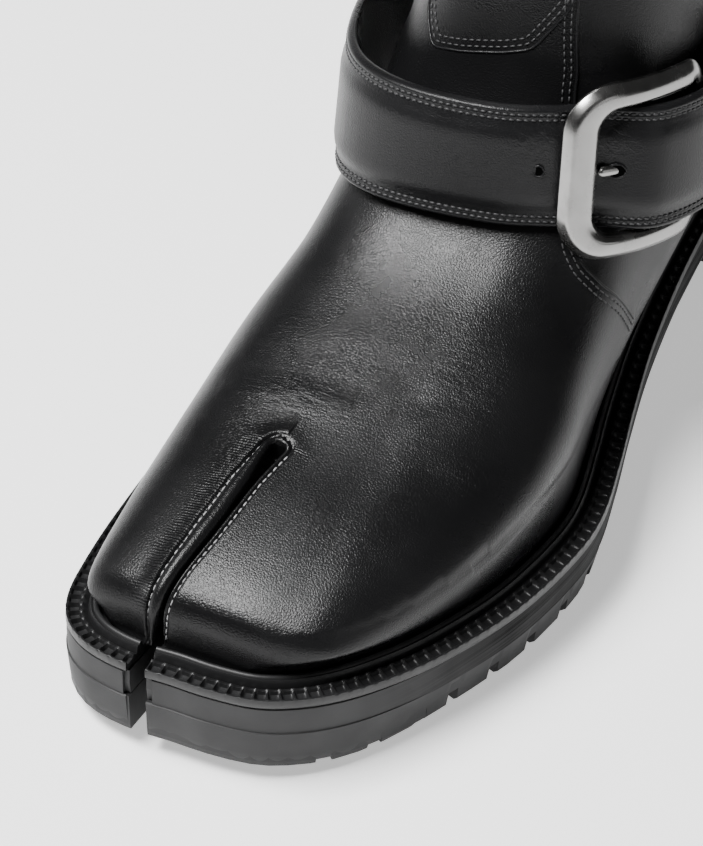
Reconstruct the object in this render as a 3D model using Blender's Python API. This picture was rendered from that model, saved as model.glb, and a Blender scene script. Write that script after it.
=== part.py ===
"""Split-toe buckle boot, left foot: a black leather upper on a storm welt and a lugged rubber sole.

Run with: blender --background --python part.py
Metres, +Z up. The toe points along -Y and the wearer's outer side is +X. The origin is on the floor,
under the middle of the sole. "Lift" is how far the sole rises from the floor at a place along its length.
"""
import math

import bmesh
import bpy
import numpy as np
from mathutils import Euler, Vector
from mathutils.bvhtree import BVHTree

MM = 0.001

# Overall sizes
LENGTH = 304 * MM
BALL_WIDTH = 112.5 * MM
BOOT_HEIGHT = 232 * MM
HEEL_RISE = 16.5 * MM
TOE_SPRING = 6.5 * MM

# Sole stack, from the floor up
LUG_DEPTH = 6 * MM
OUTSOLE_THICK = 12 * MM
MIDSOLE_THICK = 8 * MM
WELT_THICK = 3 * MM
WAIST_THINNING = 1.5 * MM
PIECE_GAP = 0.3 * MM

# Set-in of each layer's edge from the welt's edge
OUTSOLE_SET_IN = 1.4 * MM
TREAD_SET_IN = 3 * MM
TREAD_BEVEL = 1.6 * MM
MIDSOLE_SET_IN = 0.9 * MM

# Welt and bead
WELT_OUT_FRONT = 9.2 * MM
WELT_OUT_HEEL = 7 * MM
WELT_SEAT = 9 * MM
RIB_BAND = 5.4 * MM
GROOVE_DEPTH = 0.6 * MM
BEAD_WIDTH = 2.4 * MM
BEAD_RISE = 2.1 * MM
BEAD_ROUND = 0.2 * MM
BEAD_GAP = 1.1 * MM

# Upper and insole
WALL = 2 * MM
HELD_HEIGHT = 4 * MM
HELD_SLOPE = 0.15
INSOLE_THICK = 2.4 * MM
INSOLE_GAP = 1.4 * MM
COLUMNS_MEDIAL = 7
COLUMNS_LATERAL = 12

# Split toe
SLIT_ACROSS = -26.2 * MM
CLEFT_ACROSS = -24 * MM
CLEFT_SLANT = 0.1
CLEFT_LENGTH = 58 * MM
CLEFT_DEPTH = 14 * MM
CLEFT_HALF_GAP = 1.3 * MM
CLEFT_LIP = 2.6 * MM
SLIT_WIDTH = 4.6 * MM
SLIT_LENGTH = 20 * MM

# Tread
NOTCH_PITCH = 14.2 * MM
NOTCH_WIDTH = 3.2 * MM
NOTCH_FLARE = 1.4
TREAD_EDGE_BAND = 14 * MM
TREAD_CHANNEL = 4 * MM
FIRST_NOTCH = 48 * MM
TREAD_END = 150 * MM
HEEL_LENGTH = 74 * MM
HEEL_SET_IN = 2.2 * MM

# Strap and buckle
STRAP_WIDTH = 33.1 * MM
STRAP_THICK = 4 * MM
STRAP_EDGE_THICK = 2.6 * MM
STRAP_EDGE_BAND = 5 * MM
STRAP_GAP = 0.6 * MM
STRAP_STANDOFF = 13.4 * MM
STRAP_ACROSS = -3 * MM
STRAP_ALONG = 221 * MM
STRAP_UP = 76 * MM
STRAP_TILT = 15.75
STRAP_ROLL = 4.25
STRAP_REAR_RISE = 22 * MM
STRAP_TIP = 122 * MM
SEAM_GAP = 1 * MM
CLIMB_START = 33 * MM
CLIMB_END = 57 * MM
PIVOT_ALONG = 70 * MM
BUCKLE_LIFT = 5.2 * MM
PIVOT_RADIUS = 1.7 * MM
ANCHOR_WIDTH = 30 * MM
ANCHOR_THICK = 1.8 * MM
HOOK_THICK = 1.1 * MM
BUCKLE_FRONT = 28 * MM
BUCKLE_FRONT_BAR = 9 * MM
BUCKLE_BAR = 6.3 * MM
BUCKLE_THICK = 5 * MM
BUCKLE_CORNER = 9 * MM
PIVOT_CORNER = 4 * MM
BUCKLE_CLEARANCE = 0.7 * MM
PRONG_RADIUS = 1.6 * MM
HOLE_RADIUS = 2.2 * MM
SPARE_HOLE = 22.8 * MM
CUTTER_PAST = 3.4 * MM
KEEPER_ALONG = 103 * MM
KEEPER_WIDTH = 10 * MM
KEEPER_THICK = 1.6 * MM

# Outline of the welt, clockwise from the front: along is a share of LENGTH from the toe, across of BALL_WIDTH.
OUTLINE = (
    # along, across
    (0.0050, -0.160),
    (0.0060, -0.070),
    (0.0120, 0.030),
    (0.0260, 0.105),
    (0.0520, 0.185),
    (0.0900, 0.262),
    (0.1400, 0.337),
    (0.2150, 0.418),
    (0.2900, 0.463),
    (0.3450, 0.468),
    (0.4100, 0.434),
    (0.4750, 0.392),
    (0.5500, 0.352),
    (0.6400, 0.326),
    (0.7400, 0.318),
    (0.8300, 0.312),
    (0.9000, 0.282),
    (0.9500, 0.215),
    (0.9850, 0.110),
    (1.0000, -0.030),
    (0.9850, -0.170),
    (0.9500, -0.275),
    (0.9000, -0.342),
    (0.8300, -0.374),
    (0.7300, -0.388),
    (0.6200, -0.414),
    (0.5200, -0.450),
    (0.4300, -0.488),
    (0.3400, -0.515),
    (0.2500, -0.523),
    (0.1650, -0.520),
    (0.1050, -0.506),
    (0.0620, -0.485),
    (0.0330, -0.447),
    (0.0140, -0.385),
    (0.0050, -0.310),
    (0.0030, -0.230),
)

# Sections of the upper from the toe to the collar. foot is where the section's ends meet the feather line, as
# a share of LENGTH. back is the height of a section that closes behind the heel, as a share of BOOT_HEIGHT,
# or 0 where the section is an arch that stands on the feather line. crest is the section's highest point.
# medial and lateral are its half widths where it is widest, as shares of BALL_WIDTH, shoulder is the height
# of that place as a share of the section, and square is how boxy it is above.
SECTIONS = (
    # foot, back, crest_along, crest_up, ridge, medial, lateral, shoulder, square
    (0.050, 0.000, 0.0370, 0.1280, -0.190, 0.400, 0.060, 0.20, 2.90),
    (0.056, 0.000, 0.0380, 0.1480, -0.190, 0.410, 0.090, 0.30, 2.90),
    (0.067, 0.000, 0.0410, 0.1700, -0.185, 0.425, 0.130, 0.34, 2.80),
    (0.083, 0.000, 0.0510, 0.1890, -0.175, 0.435, 0.180, 0.36, 2.70),
    (0.102, 0.000, 0.0730, 0.2040, -0.165, 0.440, 0.220, 0.36, 2.60),
    (0.127, 0.000, 0.1050, 0.2180, -0.150, 0.444, 0.260, 0.36, 2.50),
    (0.158, 0.000, 0.1440, 0.2310, -0.140, 0.446, 0.300, 0.38, 2.45),
    (0.196, 0.000, 0.1900, 0.2450, -0.130, 0.446, 0.338, 0.40, 2.40),
    (0.240, 0.000, 0.2420, 0.2630, -0.120, 0.442, 0.370, 0.42, 2.40),
    (0.290, 0.000, 0.2960, 0.2795, -0.110, 0.434, 0.388, 0.44, 2.40),
    (0.345, 0.000, 0.3455, 0.2975, -0.100, 0.424, 0.386, 0.46, 2.40),
    (0.400, 0.000, 0.3865, 0.3180, -0.090, 0.412, 0.368, 0.47, 2.35),
    (0.455, 0.000, 0.4195, 0.3425, -0.080, 0.400, 0.358, 0.47, 2.35),
    (0.515, 0.000, 0.4457, 0.3730, -0.070, 0.390, 0.356, 0.46, 2.42),
    (0.580, 0.000, 0.4704, 0.4095, -0.060, 0.382, 0.356, 0.44, 2.50),
    (0.650, 0.000, 0.4918, 0.4526, -0.050, 0.376, 0.356, 0.42, 2.55),
    (0.725, 0.000, 0.5099, 0.5000, -0.040, 0.372, 0.353, 0.40, 2.55),
    (0.800, 0.000, 0.5263, 0.5517, -0.035, 0.368, 0.348, 0.38, 2.50),
    (0.862, 0.000, 0.5395, 0.6013, -0.030, 0.364, 0.342, 0.37, 2.45),
    (0.910, 0.000, 0.5510, 0.6510, -0.030, 0.360, 0.336, 0.37, 2.40),
    (0.945, 0.000, 0.5599, 0.6980, -0.030, 0.358, 0.331, 0.38, 2.35),
    (0.966, 0.000, 0.5664, 0.7410, -0.030, 0.358, 0.328, 0.40, 2.30),
    (0.980, 0.175, 0.5717, 0.7800, -0.030, 0.360, 0.326, 0.43, 2.15),
    (0.989, 0.255, 0.5750, 0.8150, -0.030, 0.364, 0.330, 0.45, 2.10),
    (0.987, 0.360, 0.5770, 0.8490, -0.030, 0.370, 0.334, 0.46, 2.10),
    (0.977, 0.480, 0.5783, 0.8815, -0.030, 0.374, 0.338, 0.47, 2.10),
    (0.966, 0.620, 0.5783, 0.9120, -0.030, 0.378, 0.342, 0.48, 2.10),
    (0.959, 0.790, 0.5770, 0.9505, -0.030, 0.382, 0.346, 0.49, 2.10),
    (0.957, 1.000, 0.5740, 1.0000, -0.030, 0.386, 0.350, 0.50, 2.10),
)
TOE_SECTIONS = 8

# Groove of the split toe, outwards from its middle: each column's distance in half gaps and lips, its share of
# the groove's depth, and how many walls further out the inner face lies.
GROOVE = (
    # half_gaps, lips, depth, walls
    (0.0, 0.0, 1.00, 0.0),
    (0.9, 0.0, 0.93, 1.0),
    (1.0, 0.1, 0.45, 1.0),
    (1.0, 0.5, 0.11, 0.8),
    (1.0, 1.4, 0.02, 0.3),
    (1.0, 2.6, 0.00, 0.0),
)


def smooth_step(value):
    value = min(max(value, 0.0), 1.0)
    return value * value * (3 - 2 * value)


def catmull(p0, p1, p2, p3, t):
    return 0.5 * (2 * p1 + (p2 - p0) * t + (2 * p0 - 5 * p1 + 4 * p2 - p3) * t**2
                  + (3 * p1 - p0 - 3 * p2 + p3) * t**3)


def closed_curve(points, between):
    """A smooth closed curve through the points, with new points between each two."""
    points = np.array(points, float)
    count = len(points)
    found = []
    for k in range(count):
        around = [points[(k + step) % count] for step in (-1, 0, 1, 2)]
        for t in np.arange(between + 1) / (between + 1):
            found.append(catmull(*around, t))
    return np.array(found)


def welt_outline(between=1):
    scaled = [((along - 0.5) * LENGTH, across * BALL_WIDTH) for along, across in OUTLINE]
    return closed_curve([(x, y) for y, x in scaled], between)


def from_toe(y):
    return y + LENGTH / 2


def welt_out(x, y):
    """Width of the welt outside the upper."""
    share = smooth_step((from_toe(y) / LENGTH - 0.4) / 0.35)
    return WELT_OUT_FRONT + (WELT_OUT_HEEL - WELT_OUT_FRONT) * share


def inset(outline, distance):
    """Move each point of an outline inwards. distance is a length, or a function of y."""
    ahead = np.roll(outline, -1, axis=0)
    behind = np.roll(outline, 1, axis=0)
    tangent = ahead - behind
    tangent /= np.linalg.norm(tangent, axis=1)[:, None]
    inward = np.stack([-tangent[:, 1], tangent[:, 0]], axis=1)
    if callable(distance):
        lengths = np.array([distance(x, y) for x, y in outline])
    else:
        lengths = np.full(len(outline), distance)
    return outline + inward * lengths[:, None]


def lift(y):
    """How far the sole is bent up from its flat shape: toe spring in front, the heel's rise behind."""
    u = from_toe(y) / LENGTH
    spring = TOE_SPRING * max(0.0, 1 - u / 0.25) ** 2
    return spring + HEEL_RISE * smooth_step((u - 0.37) / 0.6)


def welt_top():
    return OUTSOLE_THICK + PIECE_GAP + MIDSOLE_THICK + PIECE_GAP + WELT_THICK


def material(name, colour, roughness, metallic=0.0):
    made = bpy.data.materials.new(name)
    made.use_nodes = True
    shader = made.node_tree.nodes["Principled BSDF"]
    shader.inputs["Base Color"].default_value = (*colour, 1.0)
    shader.inputs["Roughness"].default_value = roughness
    shader.inputs["Metallic"].default_value = metallic
    return made


def object_from(name, bm, collection, finish=None, smooth_angle=40):
    bmesh.ops.recalc_face_normals(bm, faces=bm.faces)
    mesh = bpy.data.meshes.new(name)
    bm.to_mesh(mesh)
    bm.free()
    made = bpy.data.objects.new(name, mesh)
    collection.objects.link(made)
    if finish:
        mesh.materials.append(finish)
        mesh.shade_smooth()
        mesh.set_sharp_from_angle(angle=math.radians(smooth_angle))
    else:
        made.hide_render = True
        made.display_type = "WIRE"
    return made


def bridge(bm, loops, closed=False):
    """Quads between rings of vertices. closed joins the last ring to the first."""
    pairs = list(zip(loops, loops[1:]))
    if closed:
        pairs.append((loops[-1], loops[0]))
    for low, high in pairs:
        count = len(low)
        for k in range(count):
            after = (k + 1) % count
            bm.faces.new((low[k], low[after], high[after], high[k]))


def low_set_in(full):
    """Set-in of the sole's lower edge: slight round the toe, full along the sides."""
    def rule(x, y):
        starts = 0.04 if x > CLEFT_ACROSS else 0.2
        return full * (0.15 + 0.85 * smooth_step((from_toe(y) / LENGTH - starts) / 0.14))

    return rule


def slab(levels):
    """A solid stacked from outlines, each at its own height: ((outline, height), ...)."""
    bm = bmesh.new()
    loops = [[bm.verts.new((x, y, height)) for x, y in outline] for outline, height in levels]
    bridge(bm, loops)
    bm.faces.new(loops[0])
    bm.faces.new(loops[-1])
    return bm


def ring(levels):
    """A closed band whose cross-section runs through outlines at their heights."""
    bm = bmesh.new()
    loops = [[bm.verts.new((x, y, height)) for x, y in outline] for outline, height in levels]
    bridge(bm, loops, closed=True)
    return bm


def box(x0, x1, y0, y1, z0, z1):
    bm = bmesh.new()
    bmesh.ops.create_cube(bm, size=1.0)
    for vert in bm.verts:
        vert.co.x = x0 if vert.co.x < 0 else x1
        vert.co.y = y0 if vert.co.y < 0 else y1
        vert.co.z = z0 if vert.co.z < 0 else z1
    return bm


def cut(target, cutters, operation="DIFFERENCE"):
    """Apply a Boolean with each cutter in turn, and keep the result as the target's mesh."""
    for cutter in cutters:
        modifier = target.modifiers.new("cut", "BOOLEAN")
        modifier.operation = operation
        modifier.solver = "EXACT"
        modifier.object = cutter
    graph = bpy.context.evaluated_depsgraph_get()
    mesh = bpy.data.meshes.new_from_object(target.evaluated_get(graph))
    target.modifiers.clear()
    target.data = mesh
    for cutter in cutters:
        bpy.data.objects.remove(cutter)


def bend(target, rule, step=9 * MM):
    """Slice a flat-built solid across at even steps, then raise each vertex by rule(vertex)."""
    bm = bmesh.new()
    bm.from_mesh(target.data)
    lows = min(vert.co.y for vert in bm.verts)
    highs = max(vert.co.y for vert in bm.verts)
    count = int((highs - lows) / step)
    for k in range(1, count):
        place = lows + (highs - lows) * k / count
        whole = bm.verts[:] + bm.edges[:] + bm.faces[:]
        bmesh.ops.bisect_plane(bm, geom=whole, dist=0.00002, plane_co=(0, place, 0), plane_no=(0, 1, 0))
    bmesh.ops.remove_doubles(bm, verts=bm.verts, dist=0.00002)
    bmesh.ops.dissolve_degenerate(bm, dist=0.00002, edges=bm.edges)
    bmesh.ops.triangulate(bm, faces=bm.faces)
    for vert in bm.verts:
        vert.co.z += rule(vert.co)
    bm.to_mesh(target.data)
    bm.free()
    target.data.shade_smooth()
    target.data.set_sharp_from_angle(angle=math.radians(35))


def slit_cutter(tools, wide=0.0):
    """A box through the front edge of a layer, for the split between the toes."""
    half = SLIT_WIDTH / 2 + wide
    front = -LENGTH / 2 - 5 * MM
    back = -LENGTH / 2 + SLIT_LENGTH
    bm = box(SLIT_ACROSS - half, SLIT_ACROSS + half, front, back, -LENGTH, LENGTH)
    return object_from("slit_cutter", bm, tools)


def edge_places(outline, first, last, pitch):
    """Points and inward directions at an even pitch along one side of an outline, by distance from the toe."""
    places = []
    for side in (1, -1):
        wanted = [(x, y) for x, y in outline if x * side > 0 and first - pitch < from_toe(y) < last + pitch]
        wanted.sort(key=lambda point: point[1])
        walked = 0.0
        begun = None
        for before, after in zip(wanted, wanted[1:]):
            start, stop = Vector(before), Vector(after)
            length = (stop - start).length
            if begun is None and from_toe(stop.y) >= first:
                begun = walked + (first - from_toe(start.y)) / (stop.y - start.y) * length
            while begun is not None and begun <= walked + length and from_toe(start.y) < last:
                point = start.lerp(stop, (begun - walked) / length)
                along = (stop - start).normalized()
                places.append((point, Vector((-side * along.y, side * along.x))))
                begun += pitch
            walked += length
    return [(point, inward) for point, inward in places if from_toe(point.y) <= last]


def notch_cutters(tools, places, depth):
    """Trapezium notches, wider at the floor, that run inwards from an edge."""
    bm = bmesh.new()
    for point, inward in places:
        across = Vector((-inward.y, inward.x))
        outer = point - inward * 3 * MM
        inner = point + inward * depth
        rings = []
        for end in (outer, inner):
            corners = []
            for height, half in ((-2 * MM, NOTCH_FLARE), (LUG_DEPTH, 1.0)):
                for sign in (-1, 1):
                    corner = end + across * sign * half * NOTCH_WIDTH / 2
                    corners.append(bm.verts.new((corner.x, corner.y, height)))
            rings.append([corners[0], corners[1], corners[3], corners[2]])
        bridge(bm, rings)
        bm.faces.new(rings[0])
        bm.faces.new(rings[1])
    return object_from("notch_cutter", bm, tools)


def build_outsole(parts, tools, rubber):
    outline = welt_outline()
    bm = slab((
        (inset(outline, low_set_in(TREAD_SET_IN + TREAD_BEVEL)), 0.0),
        (inset(outline, low_set_in(TREAD_SET_IN)), TREAD_BEVEL),
        (inset(outline, low_set_in(OUTSOLE_SET_IN)), OUTSOLE_THICK),
    ))
    outsole = object_from("outsole", bm, parts, rubber)
    edge = inset(outline, low_set_in(TREAD_SET_IN))
    inner_edge = inset(outline, TREAD_EDGE_BAND)
    channel = ring((
        (inner_edge, -2 * MM),
        (inner_edge, LUG_DEPTH),
        (inset(outline, TREAD_EDGE_BAND + TREAD_CHANNEL), LUG_DEPTH),
        (inset(outline, TREAD_EDGE_BAND + TREAD_CHANNEL), -2 * MM),
    ))
    waist = box(-BALL_WIDTH, BALL_WIDTH, TREAD_END - LENGTH / 2, LENGTH, -2 * MM, LUG_DEPTH + WAIST_THINNING)
    places = edge_places(edge, FIRST_NOTCH, TREAD_END - NOTCH_PITCH / 3, NOTCH_PITCH)
    nicks = edge_places(edge, NOTCH_PITCH, FIRST_NOTCH - NOTCH_PITCH / 2, NOTCH_PITCH)
    bars = bmesh.new()
    cross = object_from("cross_cutter", cross_bars(bars, inner_edge), tools)
    cut(outsole, [
        object_from("channel_cutter", channel, tools),
        notch_cutters(tools, places, TREAD_EDGE_BAND - TREAD_SET_IN + TREAD_CHANNEL / 2),
        notch_cutters(tools, nicks, 1.6 * MM),
        cross,
        object_from("waist_cutter", waist, tools),
        slit_cutter(tools),
    ])
    bend(outsole, lambda co: lift(co.y))


def cross_bars(bm, inner_edge):
    """Cutters across the middle of the tread, between the two long channels."""
    y = FIRST_NOTCH + NOTCH_PITCH / 2
    while y < TREAD_END - NOTCH_PITCH / 2:
        near = [x for x, place in inner_edge if abs(from_toe(place) - y) < LENGTH * 0.05]
        cube = bmesh.ops.create_cube(bm, size=1.0)["verts"]
        for vert in cube:
            vert.co.x = min(near) + 2 * MM if vert.co.x < 0 else max(near) - 2 * MM
            vert.co.y = y - LENGTH / 2 + math.copysign(NOTCH_WIDTH / 2, vert.co.y)
            vert.co.z = -2 * MM if vert.co.z < 0 else LUG_DEPTH
        y += 2 * NOTCH_PITCH
    return bm


def build_midsole(parts, tools, rubber):
    outline = welt_outline()
    low = OUTSOLE_THICK + PIECE_GAP
    bm = slab((
        (inset(outline, MIDSOLE_SET_IN + 0.5 * MM), low),
        (inset(outline, MIDSOLE_SET_IN), low + MIDSOLE_THICK / 2),
        (inset(outline, MIDSOLE_SET_IN + 0.3 * MM), low + MIDSOLE_THICK),
    ))
    midsole = object_from("midsole", bm, parts, rubber)
    cut(midsole, [slit_cutter(tools)])
    bend(midsole, lambda co: lift(co.y))


def build_welt(parts, tools, rubber):
    outline = welt_outline(2)
    top = welt_top()
    low = top - WELT_THICK
    bead_in = BEAD_GAP
    bead_out = BEAD_GAP + BEAD_WIDTH

    def before_upper(distance):
        return inset(outline, lambda x, y: welt_out(x, y) - distance)

    bm = ring((
        (inset(outline, 0.3 * MM), low),
        (outline, top - 0.5 * MM),
        (inset(outline, 0.5 * MM), top),
        (inset(outline, RIB_BAND - 2 * MM), top),
        (before_upper(bead_out + BEAD_ROUND), top - GROOVE_DEPTH),
        (before_upper(bead_out - BEAD_ROUND), top + BEAD_RISE * 0.7),
        (before_upper((bead_in + bead_out) / 2), top + BEAD_RISE),
        (before_upper(bead_in + BEAD_ROUND), top + BEAD_RISE * 0.7),
        (before_upper(bead_in), top),
        (before_upper(-WELT_SEAT), top),
        (before_upper(-WELT_SEAT), low),
    ))
    welt = object_from("welt", bm, parts, rubber)
    cut(welt, [slit_cutter(tools)])
    bend(welt, lambda co: lift(co.y), step=30 * MM)


def build_heel(parts, tools, rubber):
    outline = welt_outline()
    breast = LENGTH / 2 - HEEL_LENGTH
    top = LUG_DEPTH + 4 * MM
    bm = slab((
        (inset(outline, HEEL_SET_IN + TREAD_BEVEL), 0.0),
        (inset(outline, HEEL_SET_IN), TREAD_BEVEL),
        (inset(outline, HEEL_SET_IN - 0.4 * MM), top),
    ))
    heel = object_from("heel", bm, parts, rubber)
    front = box(-BALL_WIDTH, BALL_WIDTH, -LENGTH, breast, -LENGTH, LENGTH)
    edge = inset(outline, HEEL_SET_IN)
    first = LENGTH - HEEL_LENGTH + NOTCH_PITCH
    places = edge_places(edge, first, LENGTH - 0.8 * NOTCH_PITCH, NOTCH_PITCH)
    cut(heel, [
        object_from("breast_cutter", front, tools),
        notch_cutters(tools, places, TREAD_EDGE_BAND * 0.6),
    ])

    def raise_top(co):
        if co.z < LUG_DEPTH + 1 * MM:
            return 0.0
        return lift(co.y) + LUG_DEPTH + WAIST_THINNING - PIECE_GAP - co.z

    bend(heel, raise_top)


def feather():
    return inset(welt_outline(5), welt_out)


def feather_at(curve, y, side):
    """x of the feather line at y, on the medial (-1) or lateral (1) side."""
    picked = []
    for k in range(len(curve)):
        (x0, y0), (x1, y1) = curve[k], curve[(k + 1) % len(curve)]
        if (y0 - y) * (y1 - y) <= 0 and y0 != y1:
            picked.append(x0 + (x1 - x0) * (y - y0) / (y1 - y0))
    return max(picked) if side > 0 else min(picked)


def feather_height(y):
    return welt_top() + PIECE_GAP + lift(y)


def front_section(curve, foot_y, count):
    """The feather line round the toe from the medial end at foot_y to the lateral one."""
    front = [(x, y) for x, y in curve if y < foot_y]
    front.sort(key=lambda point: point[0])
    ends = [(feather_at(curve, foot_y, side), foot_y) for side in (-1, 1)]
    path = [ends[0]] + front + [ends[1]]
    return resampled(np.array([(x, y, feather_height(y)) for x, y in path]), count)


def resampled(path, count):
    steps = np.linalg.norm(np.diff(path, axis=0), axis=1)
    walked = np.concatenate([[0.0], np.cumsum(steps)])
    places = np.linspace(0, walked[-1], count)
    return np.stack([np.interp(places, walked, path[:, k]) for k in range(3)], axis=1)


def section(row, curve, count=160):
    """A dense curve along one section of the upper, from its medial end over the crest to its lateral end."""
    foot, back, crest_along, crest_up, ridge, medial, lateral, shoulder, square = row
    foot_y = (foot - 0.5) * LENGTH
    crest = np.array(((crest_along - 0.5) * LENGTH, crest_up * BOOT_HEIGHT))
    closed = back > 0
    base = np.array((foot_y, back * BOOT_HEIGHT if closed else feather_height(foot_y)))
    found = []
    for side, wide in ((-1, -medial), (1, lateral)):
        wide_x = wide * BALL_WIDTH
        end_x = ridge * BALL_WIDTH if closed else feather_at(curve, foot_y, side)
        if not closed and abs(end_x) > abs(wide_x):
            wide_x = end_x
        middle_x = ridge * BALL_WIDTH
        base_share = min(0.9999, max(0.0, (end_x - middle_x) / (wide_x - middle_x)))
        drop = shoulder / (1 - base_share**2) ** 0.5
        half = count // 2
        start = -math.asin(min(1.0, shoulder / drop))
        points = []
        for t in np.linspace(0, 1, half, endpoint=True):
            angle = start + (math.pi / 2 - start) * t
            if angle < 0:
                high = shoulder + drop * math.sin(angle)
                out = math.cos(angle)
            else:
                high = shoulder + (1 - shoulder) * math.sin(angle) ** (2 / square)
                out = max(0.0, math.cos(angle)) ** (2 / square)
            place = base + (crest - base) * high
            points.append((middle_x + (wide_x - middle_x) * out, place[0], place[1]))
        found.append(points)
    return np.array(found[0] + found[1][::-1][1:])


def cleft_x(y):
    return CLEFT_ACROSS + CLEFT_SLANT * from_toe(y)


def column_places(path, opened):
    """Arc lengths of the columns on one section: a cluster round the cleft's line, the rest evenly spread."""
    steps = np.linalg.norm(np.diff(path, axis=0), axis=1)
    walked = np.concatenate([[0.0], np.cumsum(steps)])
    total = walked[-1]
    beside = [(x - cleft_x(min(y, 0.0)), s) for (x, y, z), s in zip(path, walked)]
    middle = [s for gap, s in beside if gap <= 0][-1]
    reaches = []
    for half_gaps, lips, depth, walls in GROOVE:
        narrow = CLEFT_HALF_GAP * half_gaps + CLEFT_LIP * lips
        broad = (len(reaches)) * 2.6 * CLEFT_LIP
        reaches.append(narrow + (broad - narrow) * opened)
    left = [middle - reach for reach in reversed(reaches)]
    right = [middle + reach for reach in reaches[1:]]
    medial = list(np.linspace(0, left[0], COLUMNS_MEDIAL + 1))[:-1]
    lateral = list(np.linspace(right[-1], total, COLUMNS_LATERAL + 1))[1:]
    places = np.array(medial + left + right + lateral)
    return np.stack([np.interp(places, walked, path[:, k]) for k in range(3)], axis=1)


def section_rows(toe_between, rear_between):
    """Rows of the section table, with smooth rows added between: more of them over the toes."""
    table = np.array(SECTIONS)
    padded = np.vstack([2 * table[0] - table[1], table, 2 * table[-1] - table[-2]])
    rows = []
    for k in range(len(table) - 1):
        between = toe_between if k < TOE_SECTIONS else rear_between
        for t in np.arange(between + 1) / (between + 1):
            row = catmull(*padded[k : k + 4], t)
            if table[k][1] == 0:
                row[1] = 0.0
            rows.append(row)
    rows.append(table[-1])
    return rows


def held_in(point, curve):
    """Keep a point of the upper inside the bead: close to the feather line it bulges only a little."""
    rise = max(0.0, point[2] - feather_height(point[1]))
    after = np.roll(curve, -1, axis=0) - curve
    share = ((point[:2] - curve) * after).sum(axis=1) / (after**2).sum(axis=1)
    nearest = curve + after * np.clip(share, 0, 1)[:, None]
    gaps = np.linalg.norm(point[:2] - nearest, axis=1)
    best = gaps.argmin()
    outward = np.array((after[best][1], -after[best][0]))
    outward /= np.linalg.norm(outward)
    past = (point[:2] - nearest[best]) @ outward
    free = HELD_SLOPE * min(rise, HELD_HEIGHT) + max(0.0, rise - HELD_HEIGHT)
    if past > free:
        point[:2] -= outward * (past - free)
    return point


def upper_grid(toe_between=1, rear_between=0):
    """Points of the upper's outer face, section by section, before the cleft is pressed in."""
    curve = feather()
    rows = section_rows(toe_between, rear_between)
    first_y = (rows[0][0] - 0.5) * LENGTH - 3 * MM
    grid = [column_places(front_section(curve, first_y, 160), 0.0)]
    for row in rows:
        path = section(row, curve)
        opened = smooth_step((row[2] * LENGTH - CLEFT_LENGTH) / (0.25 * LENGTH))
        grid.append(column_places(path, opened))
    return np.array([[held_in(point, curve) for point in line] for line in grid]), rows


def groove_floor(grid):
    """Vectors from the cleft's middle column down to the groove's floor, one for each section."""
    centre = COLUMNS_MEDIAL + len(GROOVE) - 1
    line = grid[:, centre]
    walked = np.concatenate([[0.0], np.cumsum(np.linalg.norm(np.diff(line, axis=0), axis=1))])
    end = np.interp(CLEFT_LENGTH - LENGTH / 2, line[:, 1], walked)
    goal = [np.interp(end, walked, line[:, k]) for k in range(3)]
    found = []
    for point, place in zip(line, walked):
        share = place / end
        if share >= 1:
            found.append(np.zeros(3))
            continue
        floor_y = line[0][1] + CLEFT_DEPTH + (goal[1] - line[0][1] - CLEFT_DEPTH) * share
        floor_z = line[0][2] + (goal[2] - line[0][2]) * share**1.5
        found.append(np.array((0.0, floor_y - point[1], floor_z - point[2])))
    return found


def sheet_vertices(bm, grid, closed):
    """Vertices of one face of the upper. A closed section's last column is its first."""
    rows = []
    for line, joined in zip(grid, closed):
        made = [bm.verts.new(point) for point in line[:-1]]
        made.append(made[0] if joined else bm.verts.new(line[-1]))
        rows.append(made)
    return rows


def sheet_faces(bm, rows):
    for low, high in zip(rows, rows[1:]):
        for j in range(len(low) - 1):
            corners = list(dict.fromkeys((low[j], low[j + 1], high[j + 1], high[j])))
            if len(corners) > 2:
                bm.faces.new(corners)


def inward_normals(grid, closed):
    bm = bmesh.new()
    rows = sheet_vertices(bm, grid, closed)
    sheet_faces(bm, rows)
    bm.normal_update()
    normals = np.array([[tuple(vert.normal) for vert in line] for line in rows])
    bm.free()
    middle = len(grid[0]) // 2
    if normals[len(grid) // 3][middle][2] > 0:
        normals = -normals
    flat = [(0, j) for j in range(len(grid[0]))] + [(len(grid) - 1, j) for j in range(len(grid[0]))]
    flat += [(k, j) for k in range(len(grid)) if not closed[k] for j in (0, -1)]
    for k, j in flat:
        normals[k][j][2] = 0.0
        normals[k][j] /= np.linalg.norm(normals[k][j])
    return normals


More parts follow.
